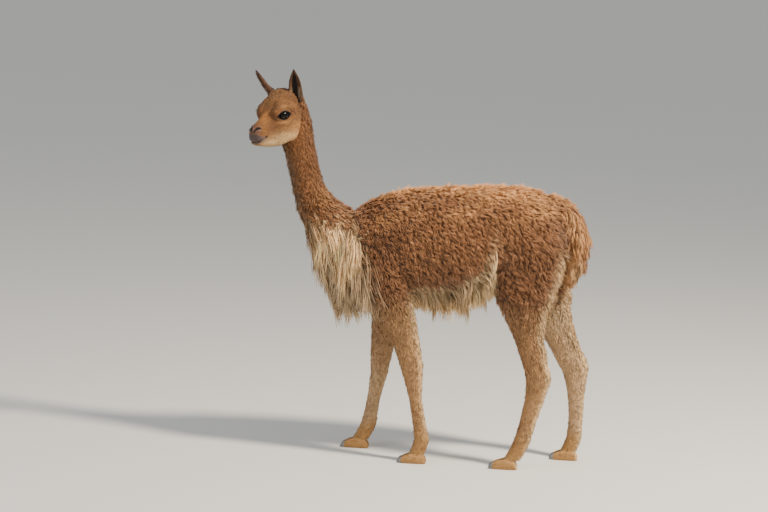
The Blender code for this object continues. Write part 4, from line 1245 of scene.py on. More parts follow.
        drift = 0.03 * waves(at.points, 0.11, 3)
        tone = np.tile(linear(self.side), (len(x), 1))
        # Lighter top of the trunk, darker lower side, shoulder and haunch: partly the coat's own tone, partly
        # painted light from above and painted shade below.
        tone = mixed(tone, self.back, smooth(z + drift, 0.80, 0.895) * (1 - at.neck))
        tone = mixed(tone, self.low_side_and_painted_shade, (1 - smooth(z + drift, 0.58, 0.70)) * 0.8)
        shoulder = smooth(x + drift, -0.23, -0.18) * (1 - smooth(x + drift, -0.12, -0.02))
        tone = mixed(tone, self.low_side_and_painted_shade, shoulder * (1 - smooth(z + drift, 0.74, 0.82)))
        haunch = smooth(x, 0.25, 0.31) * (1 - smooth(z + drift, 0.70, 0.80))
        tone = mixed(tone, self.low_side_and_painted_shade, haunch * 0.7)
        tone = mixed(tone, self.neck, at.neck)
        # Painted light: the lower neck's upward and rearward faces take some of the back's lighter colour.
        nape_painted_light = smooth(at.normals[:, 2] + 0.6 * at.normals[:, 0], 0.2, 0.9) * (1 - smooth(z, 0.84, 0.98))
        tone = mixed(tone, self.back, 0.28 * at.neck * nape_painted_light)
        throat = smooth(-at.normals[:, 0], 0.35, 0.85) * at.neck
        tone = mixed(tone, self.neck_front, throat * 0.7)
        down = 1 - smooth(z, 0.36, 0.50)
        tone = mixed(tone, self.leg_outer, at.leg * (1 - 0.5 * smooth(z, 0.44, 0.56)))
        tone = mixed(tone, self.shin, at.leg * smooth(-at.normals[:, 0], 0.2, 0.8) * 0.6)
        tone = mixed(tone, self.leg_rear, at.leg * smooth(at.normals[:, 0], 0.4, 0.9) * 0.75)
        inner = smooth(-at.outward, -0.15, 0.45)
        tone = mixed(tone, self.leg_inner, at.leg * inner * (0.55 + 0.45 * (1 - down)))
        shank = at.leg * smooth(x, 0.25, 0.31) * smooth(z + drift, 0.26, 0.34) * (1 - inner)
        tone = mixed(tone, self.low_side_and_painted_shade, shank * 0.35)
        # Painted shade: the inner side of the forelegs darkened from mid-height up, as if shaded by the body.
        tone = mixed(tone, self.neck, at.leg * inner * at.fore * smooth(z, 0.22, 0.34) * 0.45)
        tone = mixed(tone, self.foot, 1 - smooth(z, 0.06, 0.12))
        tone = mixed(tone, self.belly, at.belly)
        rear = at.thigh * smooth(at.normals[:, 0], 0.35, 0.8)
        tone = mixed(tone, self.leg_rear, rear * 0.8)
        tone = mixed(tone, self.bib, at.bib)
        # Painted light: the top of the bib lighter.
        tone = mixed(tone, self.bib_top_painted_light, at.bib * smooth(z + drift, 0.66, 0.74) * 0.95)
        tone = mixed(tone, self.tail, at.tail)
        tone = mixed(tone, self.tail_end, at.tail * (1 - smooth(z + drift, 0.60, 0.68)) * 0.6)
        return tone

    def ear(self, at: Rows, normals: Rows, head: Head) -> Rows:
        """Colours of the ears: tawny behind, dark inside.

        Args:
            at: places in the head's frame.
            normals: normals in the head's frame.
            head: the head, for the way its ears face.

        Returns:
            Linear colours.
        """
        along, off, inside = head.ear_parts(at, normals)
        edge = np.abs(off) + 0.10 * smooth(along, 0.75, 1.0)
        high = smooth(along, 0.30, 0.52)[:, None]
        hair = linear(self.ear_side) * (1 - high) + linear(self.ear_rim) * 0.8 * high
        lined = linear(self.ear_cup) + (hair - linear(self.ear_cup)) * smooth(edge, 0.26, 0.62)[:, None]
        back = linear(self.ear_back) * (1 - 0.35 * smooth(along, 0.70, 1.0))[:, None]
        rim = smooth(edge, 0.72, 0.95)[:, None]
        lined = lined * (1 - rim) + linear(self.ear_rim) * rim
        return np.where(inside[:, None], lined, back)


def lie_of(at: Places, on_head: Rows, head: Head) -> Rows:
    """The way the coat lies.

    Args:
        at: places on the skin.
        on_head: True where a place is the head's.
        head: the head, for its place.

    Returns:
        Directions in the skin, of length 1.
    """
    x, y, _ = at.points.T
    one = np.ones(len(x))
    side = np.clip(np.abs(y) / 0.12, 0, 1)
    way = np.stack([one, 0 * one, -0.30 - 1.0 * side], 1)
    neck = np.stack([0.30 * one, 0 * one, -one], 1)
    leg = np.stack([0.15 * one, 0 * one, -one], 1)
    under = np.stack([0.8 * one, 0.5 * np.sign(y), -0.4 * one], 1)
    way = way * (1 - at.neck[:, None]) + neck * at.neck[:, None]
    way = way * (1 - at.belly[:, None]) + under * at.belly[:, None]
    low = (at.leg * (1 - at.belly))[:, None]
    way = way * (1 - low) + leg * low
    tail = at.tail[:, None]
    way = way * (1 - tail) + np.array([0.10, 0, -1.0]) * tail
    bib = at.bib[:, None]
    chest = np.stack([0.10 + 0.28 * smooth(-at.normals[:, 0], 0.2, 0.8), 0 * one, -one], 1)
    way = way * (1 - bib) + chest * bib
    turn = np.array(head.place())[:3, :3]
    _, s, h = at.head_in.T
    back = np.stack([-one, 0.35 * np.sign(s) * smooth(np.abs(s), 0.004, 0.03), 0.35 - 5.0 * (0.11 - h)], 1)
    back[:, 2] = np.clip(back[:, 2], -0.7, 0.8)
    way[on_head] = back[on_head] @ turn.T
    way = unit(way)
    way += 0.20 * np.stack([waves(at.points, 0.05, s) for s in (11, 12, 13)], 1)
    way -= at.normals * (way * at.normals).sum(axis=1, keepdims=True)
    return unit(way)


@dataclass
class Tufts:
    """Tufts of hair as joined closed meshes: flat three-sided prisms that taper and bend."""

    name: str
    # Sections from root to tip: share of the length, share of the width, share of full colour, which is lower
    # at the root as painted shade.
    sections: Stations = ((0.0, 0.85, 0.70), (0.52, 1.0, 0.97))
    # The tip is lighter than full colour, as a painted highlight.
    tip_painted_highlight: float = 1.16
    patch: float = 0.003
    limit: int = 190000

    def mesh(
        self, name: str, centre: Rows, across: Rows, size: Rows, tone: Rows,
        flat: Rows,
    ) -> Thing:
        """Joins tufts in one mesh.

        Args:
            name: the object's name.
            centre: for each tuft, the middle of each section and its tip.
            across: for each tuft, the direction of its width.
            size: for each tuft, its half width and thickness.
            tone: for each tuft, its colour.
            flat: for each tuft, where its patch of the flat map starts.

        Returns:
            The object.
        """
        count, rings = centre.shape[0], len(self.sections)
        ahead = unit(np.diff(centre, axis=1))
        side = across[:, None, :] - ahead * (ahead * across[:, None, :]).sum(axis=2, keepdims=True)
        side = unit(side)
        up = np.cross(ahead, side)
        shares = np.array(self.sections)
        wide = size[:, 0, None, None] * shares[None, :, 1, None]
        thick = size[:, 1, None, None] * np.sqrt(shares[None, :, 1, None])
        middle = centre[:, :rings]
        ring = np.stack([middle - side * wide, middle + side * wide, middle + up * thick], axis=2)
        points = np.concatenate([ring.reshape(count, rings * 3, 3), centre[:, -1:]], axis=1)
        faces = [(2, 1, 0)]
        for k in range(rings - 1):
            for i in range(3):
                a, b = 3 * k + i, 3 * k + (i + 1) % 3
                faces += [(a, b, b + 3), (a, b + 3, a + 3)]
        last = 3 * (rings - 1)
        faces += [(last + i, last + (i + 1) % 3, 3 * rings) for i in range(3)]
        each = 3 * rings + 1
        index = (np.array(faces)[None] + (np.arange(count) * each)[:, None, None]).reshape(-1)
        mesh = bpy.data.meshes.new(name)
        mesh.vertices.add(count * each)
        mesh.vertices.foreach_set("co", points.astype(np.float32).ravel())
        mesh.loops.add(len(index))
        mesh.loops.foreach_set("vertex_index", index.astype(np.int32))
        mesh.polygons.add(len(index) // 3)
        mesh.polygons.foreach_set("loop_start", np.arange(0, len(index), 3, dtype=np.int32))
        mesh.update(calc_edges=True)
        # Painted shade darkens the roots of each tuft and a painted highlight lightens its tip.
        shade = np.repeat(np.append(shares[:, 2], self.tip_painted_highlight), [3] * rings + [1])
        note(mesh, "coat_tone", (tone[:, None, :] * shade[None, :, None]).reshape(-1, 3))
        along = np.repeat(np.append(shares[:, 0], 1.0), [3] * rings + [1])
        around = np.append(np.tile([0.0, 0.5, 1.0], rings), 0.5)
        local = np.stack([along, around], axis=1) * self.patch
        spread = (flat[:, None, :] + local[None]).reshape(-1, 2)
        layer = mesh.uv_layers.new(name="OFBake")
        layer.data.foreach_set("uv", spread[index].astype(np.float32).ravel())
        mesh.shade_smooth()
        return placed(name, mesh)

    def pieces(self, **rows: Rows) -> list[Thing]:
        """Splits the tufts over as few pieces as the limit of triangles allows.

        Args:
            rows: what mesh() takes for each tuft.

        Returns:
            The pieces.
        """
        each = 6 * (len(self.sections) - 1) + 4
        count = len(rows["centre"])
        parts = max(1, math.ceil(count * each / self.limit))
        made = []
        for part in range(parts):
            keep = slice(part * count // parts, (part + 1) * count // parts)
            name = self.name if parts == 1 else f"{self.name}_{part + 1}"
            made.append(self.mesh(name, **{k: v[keep] for k, v in rows.items()}))
        return made


@dataclass(frozen=True)
class Layer:
    """One kind of hair: where it grows, how long and thick it is and how it falls."""

    name: str
    slot: Slot
    count: int
    where: Callable[["Ground"], Rows]
    length: Callable[["Ground"], Rows]
    half_width: float
    thickness: float
    # How many tufts share a clump, and how far they are drawn to its middle.
    share: int = 8
    pull: float = 0.62
    # How high the tips stand, how far clumps curl, and how far their weight draws them down.
    lift: float = 0.30
    curl: float = 0.10
    droop: float = 0.0
    sink: float = 0.0015
    vary: float = 0.13
    stray: float = 0.05
    # How far the lie wanders from tuft to tuft, and the pale tone mixed into every tuft.
    wild: float = 0.10
    pale: float = 0.0
    # How far from its root a clump may take its colour, which makes the edges of markings ragged.
    wander: float = 0.0
    # The length at which tufts have their full width, and the least share of it on shorter ones.
    full_at: float = 0.0
    least: float = 0.4
    # Sections from root to tip: share of the length, share of the width, share of full colour, which is lower
    # at the root as painted shade.
    sections: Stations = ((0.0, 0.85, 0.72), (0.52, 1.0, 0.97))
    # The tip is lighter than full colour, as a painted highlight.
    tip_painted_highlight: float = 1.15
    contrast: float = 0.09
    seed: int = 1


class Ground:
    """Places on the skin, with all that the coat needs to know of them."""

    def __init__(
        self, points: Rows, normals: Rows, on_head: Rows, on_ear: Rows, head: Head
    ) -> None:
        """Gathers the facts of some places.

        Args:
            points: the places, one a row.
            normals: the skin's normals there.
            on_head: True on the head.
            on_ear: True on the ears.
            head: the head.
        """
        inverse = head.place().inverted()
        self.points = points
        self.normals = normals
        self.on_head = on_head
        self.on_ear = on_ear
        self.on_body = ~(on_head | on_ear)
        self.head_in = through(inverse, points)
        self.places = Places(points, normals, self.head_in)
        self.head_normals = normals @ np.array(inverse)[:3, :3].T
        self.head = head

    def tone(self, markings: Markings) -> Rows:
        """Finds the colours of the coat.

        Args:
            markings: the animal's colours.

        Returns:
            Linear colours at these places.
        """
        tone = markings.body(self.places)
        tone[self.on_head] = markings.head(self.head_in[self.on_head], self.head)
        rows = self.on_ear
        tone[rows] = markings.ear(self.head_in[rows], self.head_normals[rows], self.head)
        return tone

    def lie(self) -> Rows:
        """Finds the directions in which the coat lies.

        Returns:
            Directions at these places, of length 1.
        """
        way = lie_of(self.places, self.on_head, self.head)
        for side, (_, lean) in self.head.ears.items():
            rows = self.on_ear & (self.head_in[:, 1] * side.value < 0)
            axis = Vector((lean[0], -side.value * lean[1], 1.0)).normalized()
            axis = np.array(self.head.place().to_3x3() @ axis)
            way[rows] = axis - self.normals[rows] * (self.normals[rows] @ axis)[:, None]
        return unit(way)


def wool_length(at: Ground) -> Rows:
    """Length of the fleece: longest on the trunk, shorter up the neck and down the legs.

    Args:
        at: places on the skin.

    Returns:
        Lengths in metres.
    """
    z = at.points[:, 2]
    length = np.full(len(z), 0.030)
    length -= 0.008 * (1 - smooth(at.points[:, 0], -0.22, -0.10)) * smooth(z, 0.74, 0.80)
    neck = np.interp(z, (0.74, 0.82, 0.92, 1.08), (0.028, 0.022, 0.0155, 0.0130))
    length = length * (1 - at.places.neck) + neck * at.places.neck
    leg = np.interp(z, (0.30, 0.42, 0.50, 0.58), (0.009, 0.013, 0.020, 0.028))
    return length * (1 - at.places.leg) + leg * at.places.leg


def short_length(at: Ground) -> Rows:
    """Length of the short hair of head, ears, legs and feet.

    Args:
        at: places on the skin.

    Returns:
        Lengths in metres.
    """
    z = at.points[:, 2]
    length = np.interp(z, (0.0, 0.05, 0.12, 0.30, 0.45), (0.005, 0.008, 0.0105, 0.014, 0.018))
    a, _, h = at.head_in.T
    face = 0.0090 - 0.0055 * smooth(a, 0.085, 0.165)
    face += 0.003 * smooth(h, 0.14, 0.17) * (1 - smooth(a, 0.08, 0.12)) + 0.004 * (1 - smooth(a, 0.02, 0.07))
    length = np.where(at.on_head, face, length)
    along, _, _ = at.head.ear_parts(at.head_in, at.head_normals)
    return np.where(at.on_ear, 0.007 + 0.009 * (1 - smooth(along, 0.05, 0.35)), length)


def on_fleece(at: Ground) -> Rows:
    """Where wool grows: trunk, shoulders, thighs and neck.

    Args:
        at: places on the skin.

    Returns:
        How dense it stands.
    """
    z = at.points[:, 2]
    leg = smooth(z, 0.40, 0.52)
    dense = leg * (1 - 0.75 * at.places.belly) * (1 - at.places.bib) * (1 - at.places.tail)
    dense *= 1 + 0.55 * at.places.neck
    return dense * at.on_body


def on_legs(at: Ground) -> Rows:
    """Where the short hair of legs and feet grows.

    Args:
        at: places on the skin.

    Returns:
        How dense it stands.
    """
    z = at.points[:, 2]
    dense = (1 - smooth(z, 0.42, 0.54)) * at.on_body * smooth(z, 0.003, 0.010)
    # The hair stands closer the finer it is, down to the feet.
    return dense * (1 + 2.2 * (1 - smooth(z, 0.08, 0.20)))


def on_head(at: Ground) -> Rows:
    """Where the short hair of the head and of the backs of the ears grows.

    Args:
        at: places on the skin.

    Returns:
        How dense it stands.
    """
    bare = Markings().bare_share(at.head_in, at.head)
    a = at.head_in[:, 0]
    face = at.on_head * (1 - smooth(bare, 0.05, 0.30)) * (1.0 + 1.0 * smooth(a, 0.10, 0.16))
    _, off, inside = at.head.ear_parts(at.head_in, at.head_normals)
    return face + at.on_ear * (~inside | (np.abs(off) > 0.8)) * 0.9


def on_bib(at: Ground) -> Rows:
    """Where the long hair of the chest is rooted: not on what faces down."""
    above = smooth(at.points[:, 2], 0.50, 0.52) * (1 - smooth(-at.normals[:, 2], 0.45, 0.75))
    return at.places.bib * at.on_body * above


def bib_length(at: Ground) -> Rows:
    """Length of the hair of the chest, so that its tips end together."""
    x, _, z = at.points.T
    reach = np.clip(z - 0.440 - 0.35 * np.maximum(0.0, x + 0.205), 0.055, 0.130)
    return reach * np.interp(z, (0.54, 0.60, 0.74), (1.0, 0.95, 0.72))


def on_belly(at: Ground) -> Rows:
    """Where the fringe of the belly is rooted.

    Args:
        at: places on the skin.

    Returns:
        How dense it stands.
    """
    x, _, z = at.points.T
    near = smooth(x, -0.08, -0.05) * (1 - smooth(x, 0.26, 0.29)) * (z > 0.495) * (z < 0.74)
    outer = smooth(at.places.outward, -0.1, 0.3)
    return smooth(at.places.belly, 0.1, 0.6) * near * at.on_body * (0.15 + outer)


def belly_length(at: Ground) -> Rows:
    """Length of the fringe of the belly: deepest under the middle, short at the flank.

    Args:
        at: places on the skin.

    Returns:
        Lengths in metres.
    """
    x, _, z = at.points.T
    tip = np.interp(x, (-0.03, 0.02, 0.12, 0.18, 0.22, 0.26), (0.472, 0.462, 0.450, 0.488, 0.530, 0.60))
    return np.clip(1.08 * (z - tip), 0.028, 0.112)


def on_tail(at: Ground) -> Rows:
    """Where the hair of the tail is rooted."""
    return at.places.tail * at.on_body


def tail_length(at: Ground) -> Rows:
    """Length of the hair of the tail."""
    return np.clip(at.points[:, 2] - 0.575, 0.026, 0.046)


def on_thigh_rear(at: Ground) -> Rows:
    """Where longer pale hair edges thigh and hock."""
    z = at.points[:, 2]
    band = smooth(z, 0.34, 0.44) * (1 - smooth(z, 0.66, 0.72))
    return at.places.thigh * smooth(at.normals[:, 0], 0.35, 0.8) * band * at.on_body


def thigh_length(at: Ground) -> Rows:
    """Length of the hair that edges thigh and hock."""
    return np.full(len(at.points), 0.028)


def lining_length(at: Ground) -> Rows:
    """Length of the hair in the cups of the ears."""
    return np.full(len(at.points), 0.013)


def on_ear_lining(at: Ground) -> Rows:
    """Where long pale hair lines the cups of the ears."""
    along, off, inside = at.head.ear_parts(at.head_in, at.head_normals)
    side = smooth(np.abs(off), 0.45, 0.65) + (1 - smooth(along, 0.05, 0.22))
    return at.on_ear * inside * side * (1 - smooth(along, 0.85, 0.95))


# The third column, share of full colour, darkens the roots as painted shade.
SHORT_SECTIONS = ((0.0, 0.9, 0.80), (0.5, 0.95, 0.96))
FACE_SECTIONS = ((0.0, 0.9, 0.96), (0.5, 0.95, 1.0))
WOOL_SECTIONS = ((0.0, 0.85, 0.80), (0.52, 1.0, 0.98))
LONG_SECTIONS = ((0.0, 0.7, 0.78), (0.30, 1.0, 0.88), (0.58, 0.90, 1.0), (0.82, 0.60, 1.06))
LAYERS = (
    Layer(
        "coat_fleece", Slot.FLEECE, 70000, on_fleece, wool_length, 0.0013, 0.0009,
        share=6, pull=0.64, lift=0.42, curl=0.18, stray=0.09, wild=0.20, wander=0.011,
        full_at=0.026, least=0.62, sections=WOOL_SECTIONS, seed=21,
    ),
    Layer(
        "coat_legs", Slot.LEGS, 22000, on_legs, short_length, 0.0012, 0.0007,
        share=5, pull=0.35, lift=0.20, curl=0.06, sink=0.0008, wander=0.006, full_at=0.016, least=0.38,
        sections=FACE_SECTIONS, tip_painted_highlight=1.05, seed=22,
    ),
    Layer(
        "coat_head", Slot.HEAD, 24000, on_head, short_length, 0.00050, 0.00032,
        share=7, pull=0.40, lift=0.09, curl=0.05, sink=0.0005, sections=FACE_SECTIONS, tip_painted_highlight=1.08,
        contrast=0.11, seed=28,
    ),
    Layer(
        "coat_bib", Slot.PALE, 5600, on_bib, bib_length, 0.0017, 0.0010,
        share=9, pull=0.66, lift=0.20, curl=0.07, droop=0.32, vary=0.18, sections=LONG_SECTIONS,
        tip_painted_highlight=1.14, contrast=0.15, seed=23,
    ),
    Layer(
        "coat_belly", Slot.PALE, 4700, on_belly, belly_length, 0.0016, 0.0010,
        share=14, pull=0.74, lift=0.14, curl=0.08, droop=0.62, vary=0.14, sections=LONG_SECTIONS,
        tip_painted_highlight=1.12, pale=0.45, wander=0.014, seed=24,
    ),
    Layer(
        "coat_tail", Slot.FLEECE, 3800, on_tail, tail_length, 0.0016, 0.0010,
        share=11, pull=0.6, lift=0.24, curl=0.22, droop=0.34, vary=0.20, stray=0.08, wild=0.16,
        sections=LONG_SECTIONS, seed=25,
    ),
    Layer(
        "coat_thigh_edge", Slot.PALE, 2600, on_thigh_rear, thigh_length, 0.0013, 0.0008,
        share=8, pull=0.5, lift=0.30, curl=0.10, droop=0.2, seed=26,
    ),
    Layer(
        "coat_ear_lining", Slot.EARS, 1300, on_ear_lining, lining_length, 0.0005, 0.00035,
        share=3, pull=0.2, lift=0.30, curl=0.06, sink=0.0005, sections=SHORT_SECTIONS, seed=27,
    ),
)


@dataclass
class Coat:
    """The whole coat, layer by layer, grown on the skin."""

    skin: Thing
    made: Skin
    head: Head
    markings: Markings

    def __post_init__(self) -> None:
        """Reads the skin once for all layers."""
        self.surface = Surface(self.skin)
        self.tree, self.flat = self.made.unwrapped(self.skin)
        faces = self.surface.faces
        self.head_faces = self.made.is_head[faces].all(axis=1)
        self.ear_faces = self.made.is_ear[faces].all(axis=1)
        self.ground = Ground(
            self.surface.centres, self.surface.facing, self.head_faces, self.ear_faces, self.head
        )

    def paint(self) -> None:
        """Gives the skin the coat's colours, darker under the hair as painted shade, and says where it is
        bare.
        """
        here = Ground(
            self.surface.points, self.surface.normals, self.made.is_head, self.made.is_ear, self.head
        )
        tone = here.tone(self.markings)
        bare = self.markings.bare_share(here.head_in, self.head) * here.on_head
        wet = bare * (1 - 0.8 * self.markings.eye_share(here.head_in, self.head))
        # Painted shade: the skin under the hair is darker than the coat; bare skin and the ears keep the full
        # colour.
        shade = np.where(here.on_head, 0.82, 0.86)
        shade = shade + (1 - shade) * np.maximum(bare, here.on_ear)
        note(self.skin.data, "coat_tone", tone * shade[:, None])
        note(self.skin.data, "bare", wet)
        self.skin.data.shade_smooth()

    def flat_places(self, points: Rows) -> Rows:
        """Finds places on the unwrapped skin.

        Args:
            points: places on the skin.

        Returns:
            Their places on the flat map.
        """
        hits = [self.tree.find_nearest(Vector(p)) for p in points]
        spot = np.array([h[0] for h in hits])
        face = np.array([h[2] for h in hits])
        a, b, c = np.moveaxis(self.made.unwrap_corners[face], 1, 0)
        whole = np.cross(b - a, c - a)
        area = np.maximum((whole * whole).sum(axis=1), 1e-18)
        v = (np.cross(c - b, spot - b) * whole).sum(axis=1) / area
        w = (np.cross(a - c, spot - c) * whole).sum(axis=1) / area
        mix = np.stack([v, w, 1 - v - w], axis=1)
        return np.einsum("nk,nkj->nj", mix, self.flat[face])

    def path(
        self, roots: Rows, normals: Rows, ways: Rows, lifts: Rows,
        lengths: Rows, layer: Layer, t: Rows,
    ) -> Rows:
        """Finds the curves of hairs that rise from the skin, bend over it and hang.

        Args:
            roots: where they start.
            normals: the skin's normals there.
            ways: the lie of the coat there.
            lifts: how high each rises, as a share of its length.
            lengths: their lengths.
            layer: the layer, for its droop.
            t: shares of the length at which the curves are wanted.

        Returns:
            Places, for each hair at each share.
        """
        first = unit(ways + normals * lifts[:, None])
        down = np.array((0.0, 0.0, -1.0))
        ahead = (t * (1 - layer.droop * t))[None, :, None] * first[:, None]
        hump = (0.30 * np.sin(math.pi * t))[None, :, None] * (normals * lifts[:, None])[:, None]
        fall = (layer.droop * t * t)[None, :, None] * down
        return roots[:, None] + (ahead + hump + fall) * lengths[:, None, None]

    def grow(self, layer: Layer) -> list[Thing]:
        """Grows one layer.

        Args:
            layer: what to grow.

        Returns:
            Its pieces.
        """
        draws = np.random.default_rng(layer.seed)
        weight = layer.where(self.ground)
        roots, normals, picked = self.surface.scatter(weight, layer.count, draws)
        here = Ground(roots, normals, self.head_faces[picked], self.ear_faces[picked], self.head)
        clumps = max(8, layer.count // layer.share)
        at, up, on = self.surface.scatter(weight, clumps, draws)
        there = Ground(at, up, self.head_faces[on], self.ear_faces[on], self.head)
        tree = KDTree(clumps)
        for i, place in enumerate(at):
            tree.insert(place, i)
        tree.balance()
        mine = np.array([tree.find(p)[1] for p in roots])
        # Each clump has its own length, rise, curl and way, and its tufts stray a little from them.
        grade = np.clip(1 + layer.vary * draws.normal(size=clumps), 0.6, 1.4)
        raised = layer.lift * draws.uniform(0.75, 1.25, clumps)
        phase = draws.uniform(0, 2 * math.pi, clumps)
        clump_way = unit(there.lie() + draws.normal(0, layer.wild, at.shape))
        own_way = unit(here.lie() + clump_way[mine] + draws.normal(0, 1.4 * layer.wild, roots.shape))
        own_lift = layer.lift * draws.uniform(0.7, 1.2, len(roots))
        length = layer.length(here) * grade[mine] * draws.uniform(0.85, 1.1, len(roots))
        clump_length = layer.length(there) * grade
        t = np.append(np.array(layer.sections)[:, 0], 1.0)
        own = self.path(roots - normals * layer.sink, normals, own_way, own_lift, length, layer, t)
        core = self.path(at - up * layer.sink, up, clump_way, raised, clump_length, layer, t)
        sway = np.cross(clump_way, up)[:, None] * (layer.curl * clump_length)[:, None, None]
        core += sway * (np.sin(phase[:, None] + 4.2 * t) * t)[:, :, None]
        centre = own + (core[mine] - own) * (layer.pull * t**1.2)[None, :, None]
        loose = draws.normal(0, layer.stray, roots.shape) * length[:, None]
        centre += loose[:, None] * (t**1.5)[None, :, None]
        centre[:, :, 2] = np.maximum(centre[:, :, 2], 0.0012)
        across = unit(np.cross(own_way, normals))
        size = np.stack([np.full(len(roots), layer.half_width), np.full(len(roots), layer.thickness)], 1)
        size *= np.clip(length / layer.length(here), 0.7, 1.2)[:, None]
        if layer.full_at:
            size *= np.clip(length / layer.full_at, layer.least, 1.0)[:, None]
        # Where clumps take their colour from a little way off, they take more of it.
        strayed = at + draws.normal(0, 1, at.shape) * layer.wander
        dyed = Ground(strayed, up, self.head_faces[on], self.ear_faces[on], self.head)
        own_share = 0.2 if layer.wander else 0.5
        blend = own_share * here.tone(self.markings) + (1 - own_share) * dyed.tone(self.markings)[mine]
        blend += (linear(self.markings.belly) - blend) * layer.pale
        vary = 1 + layer.contrast * (draws.normal(size=clumps)[mine] + 0.5 * draws.normal(size=len(roots)))
        vary *= 1 + layer.contrast * (0.6 * waves(roots, 0.030, 5) + 0.8 * waves(roots, 0.09, 6))
        tone = blend * np.clip(vary, 0.55, 1.5)[:, None]
        tufts = Tufts(layer.name, layer.sections, layer.tip_painted_highlight)
        flat = self.flat_places(roots)
        return tufts.pieces(centre=centre, across=across, size=size, tone=tone, flat=flat)


@dataclass
class Eyes:
    """The two eyeballs, with a bulging cornea, and the lashes of the upper lids."""

    head: Head
    facets: tuple[int, int] = (64, 48)
    bulge: float = 0.0012
    # How far from its axis the bulge of the cornea reaches, in radians.
    bulge_reach: float = 0.55
    # How much wider than high the pupil is.
    pupil_oval: float = 1.5
    lash_length: float = 0.014
    lash_size: tuple[float, float] = (0.00045, 0.00035)
    lash_tone: str = "241913"
    lashes: int = 90
    # The lashes' first and last place on the lid, in degrees, and how far they spread sideways.
    lash_span: tuple[float, float] = (12.0, 168.0)
    lash_spread: float = 22.0

    def ball(self, side: Side) -> Thing:
        """Makes one eyeball.

        Args:
            side: which eye.

        Returns:
            The eyeball, in the animal's place.
        """
        name = f"eyeball_{side.name.lower()}"
        quarter = Matrix.Rotation(math.radians(90.0), 4, "Y")
        thing = ball(name, quarter, (self.head.eye_radius,) * 3, self.facets)
        points = corners_of(thing.data)
        off = np.arctan2(np.hypot(points[:, 1], points[:, 2]), points[:, 0])
        oval = np.hypot(points[:, 1] / self.pupil_oval, points[:, 2]) / self.head.eye_radius
        swell = self.bulge / self.head.eye_radius * hill(off, self.bulge_reach)
        points *= 1 + swell[:, None]
        set_corners(thing.data, points)
        note(thing.data, "off_axis", off)
        # The back of the ball counts as far from the pupil.
        note(thing.data, "pupil", np.where(points[:, 0] > 0, oval, 9.0))
        thing.data.transform(self.head.place() @ self.head.eye_place(side))
        thing.data.shade_smooth()
        return thing

    def fringe(self, coat: Coat) -> list[Thing]:
        """Makes the lashes of both eyes.

        Args:
            coat: the coat, for its flat map.

        Returns:
            The lashes.
        """
        draws = np.random.default_rng(41)
        half_length, half_height = self.head.lid_opening
        lid = self.head.eye_radius + self.head.lid_thickness
        centres, sides = [], []
        for side in Side:
            turn = np.radians(np.linspace(*self.lash_span, self.lashes))
            y = half_length * 1.04 * np.cos(turn)
            top = half_height * self.head.upper_lid
            z = top * np.sin(turn) ** self.head.lid_pointed + 0.0006
            x = np.sqrt(lid**2 - y**2 - z**2) - 0.0012
            root = np.stack([x, y, z], axis=1)
            way = np.stack([np.ones_like(x), y * self.lash_spread, 0.10 - 25 * (top - z)], axis=1)
            way = unit(way + draws.normal(0, 0.10, way.shape))
            long = self.lash_length * draws.uniform(0.7, 1.1, len(x))[:, None]
            t = np.array([0.0, 0.5, 1.0])[None, :, None]
            droop = np.array([0.0, 0.0, -0.3])[None, None, :] * t**2
            path = root[:, None] + (way[:, None] * t + droop) * long[:, None]
            place = self.head.place() @ self.head.lid_place(side)
            centres.append(through(place, path.reshape(-1, 3)).reshape(path.shape))
            across = np.cross(way, (0, 0, 1.0))
            sides.append(unit(across) @ np.array(place)[:3, :3].T)
        centre, across = np.concatenate(centres), np.concatenate(sides)
        count = len(centre)
        tufts = Tufts("lashes", ((0.0, 1.0, 1.0), (0.5, 0.75, 1.0)), 1.0)
        return tufts.pieces(
            centre=centre,
            across=across,
            size=np.tile(self.lash_size, (count, 1)),
            tone=np.tile(linear(self.lash_tone), (count, 1)),
            flat=coat.flat_places(centre[:, 0]),
        )


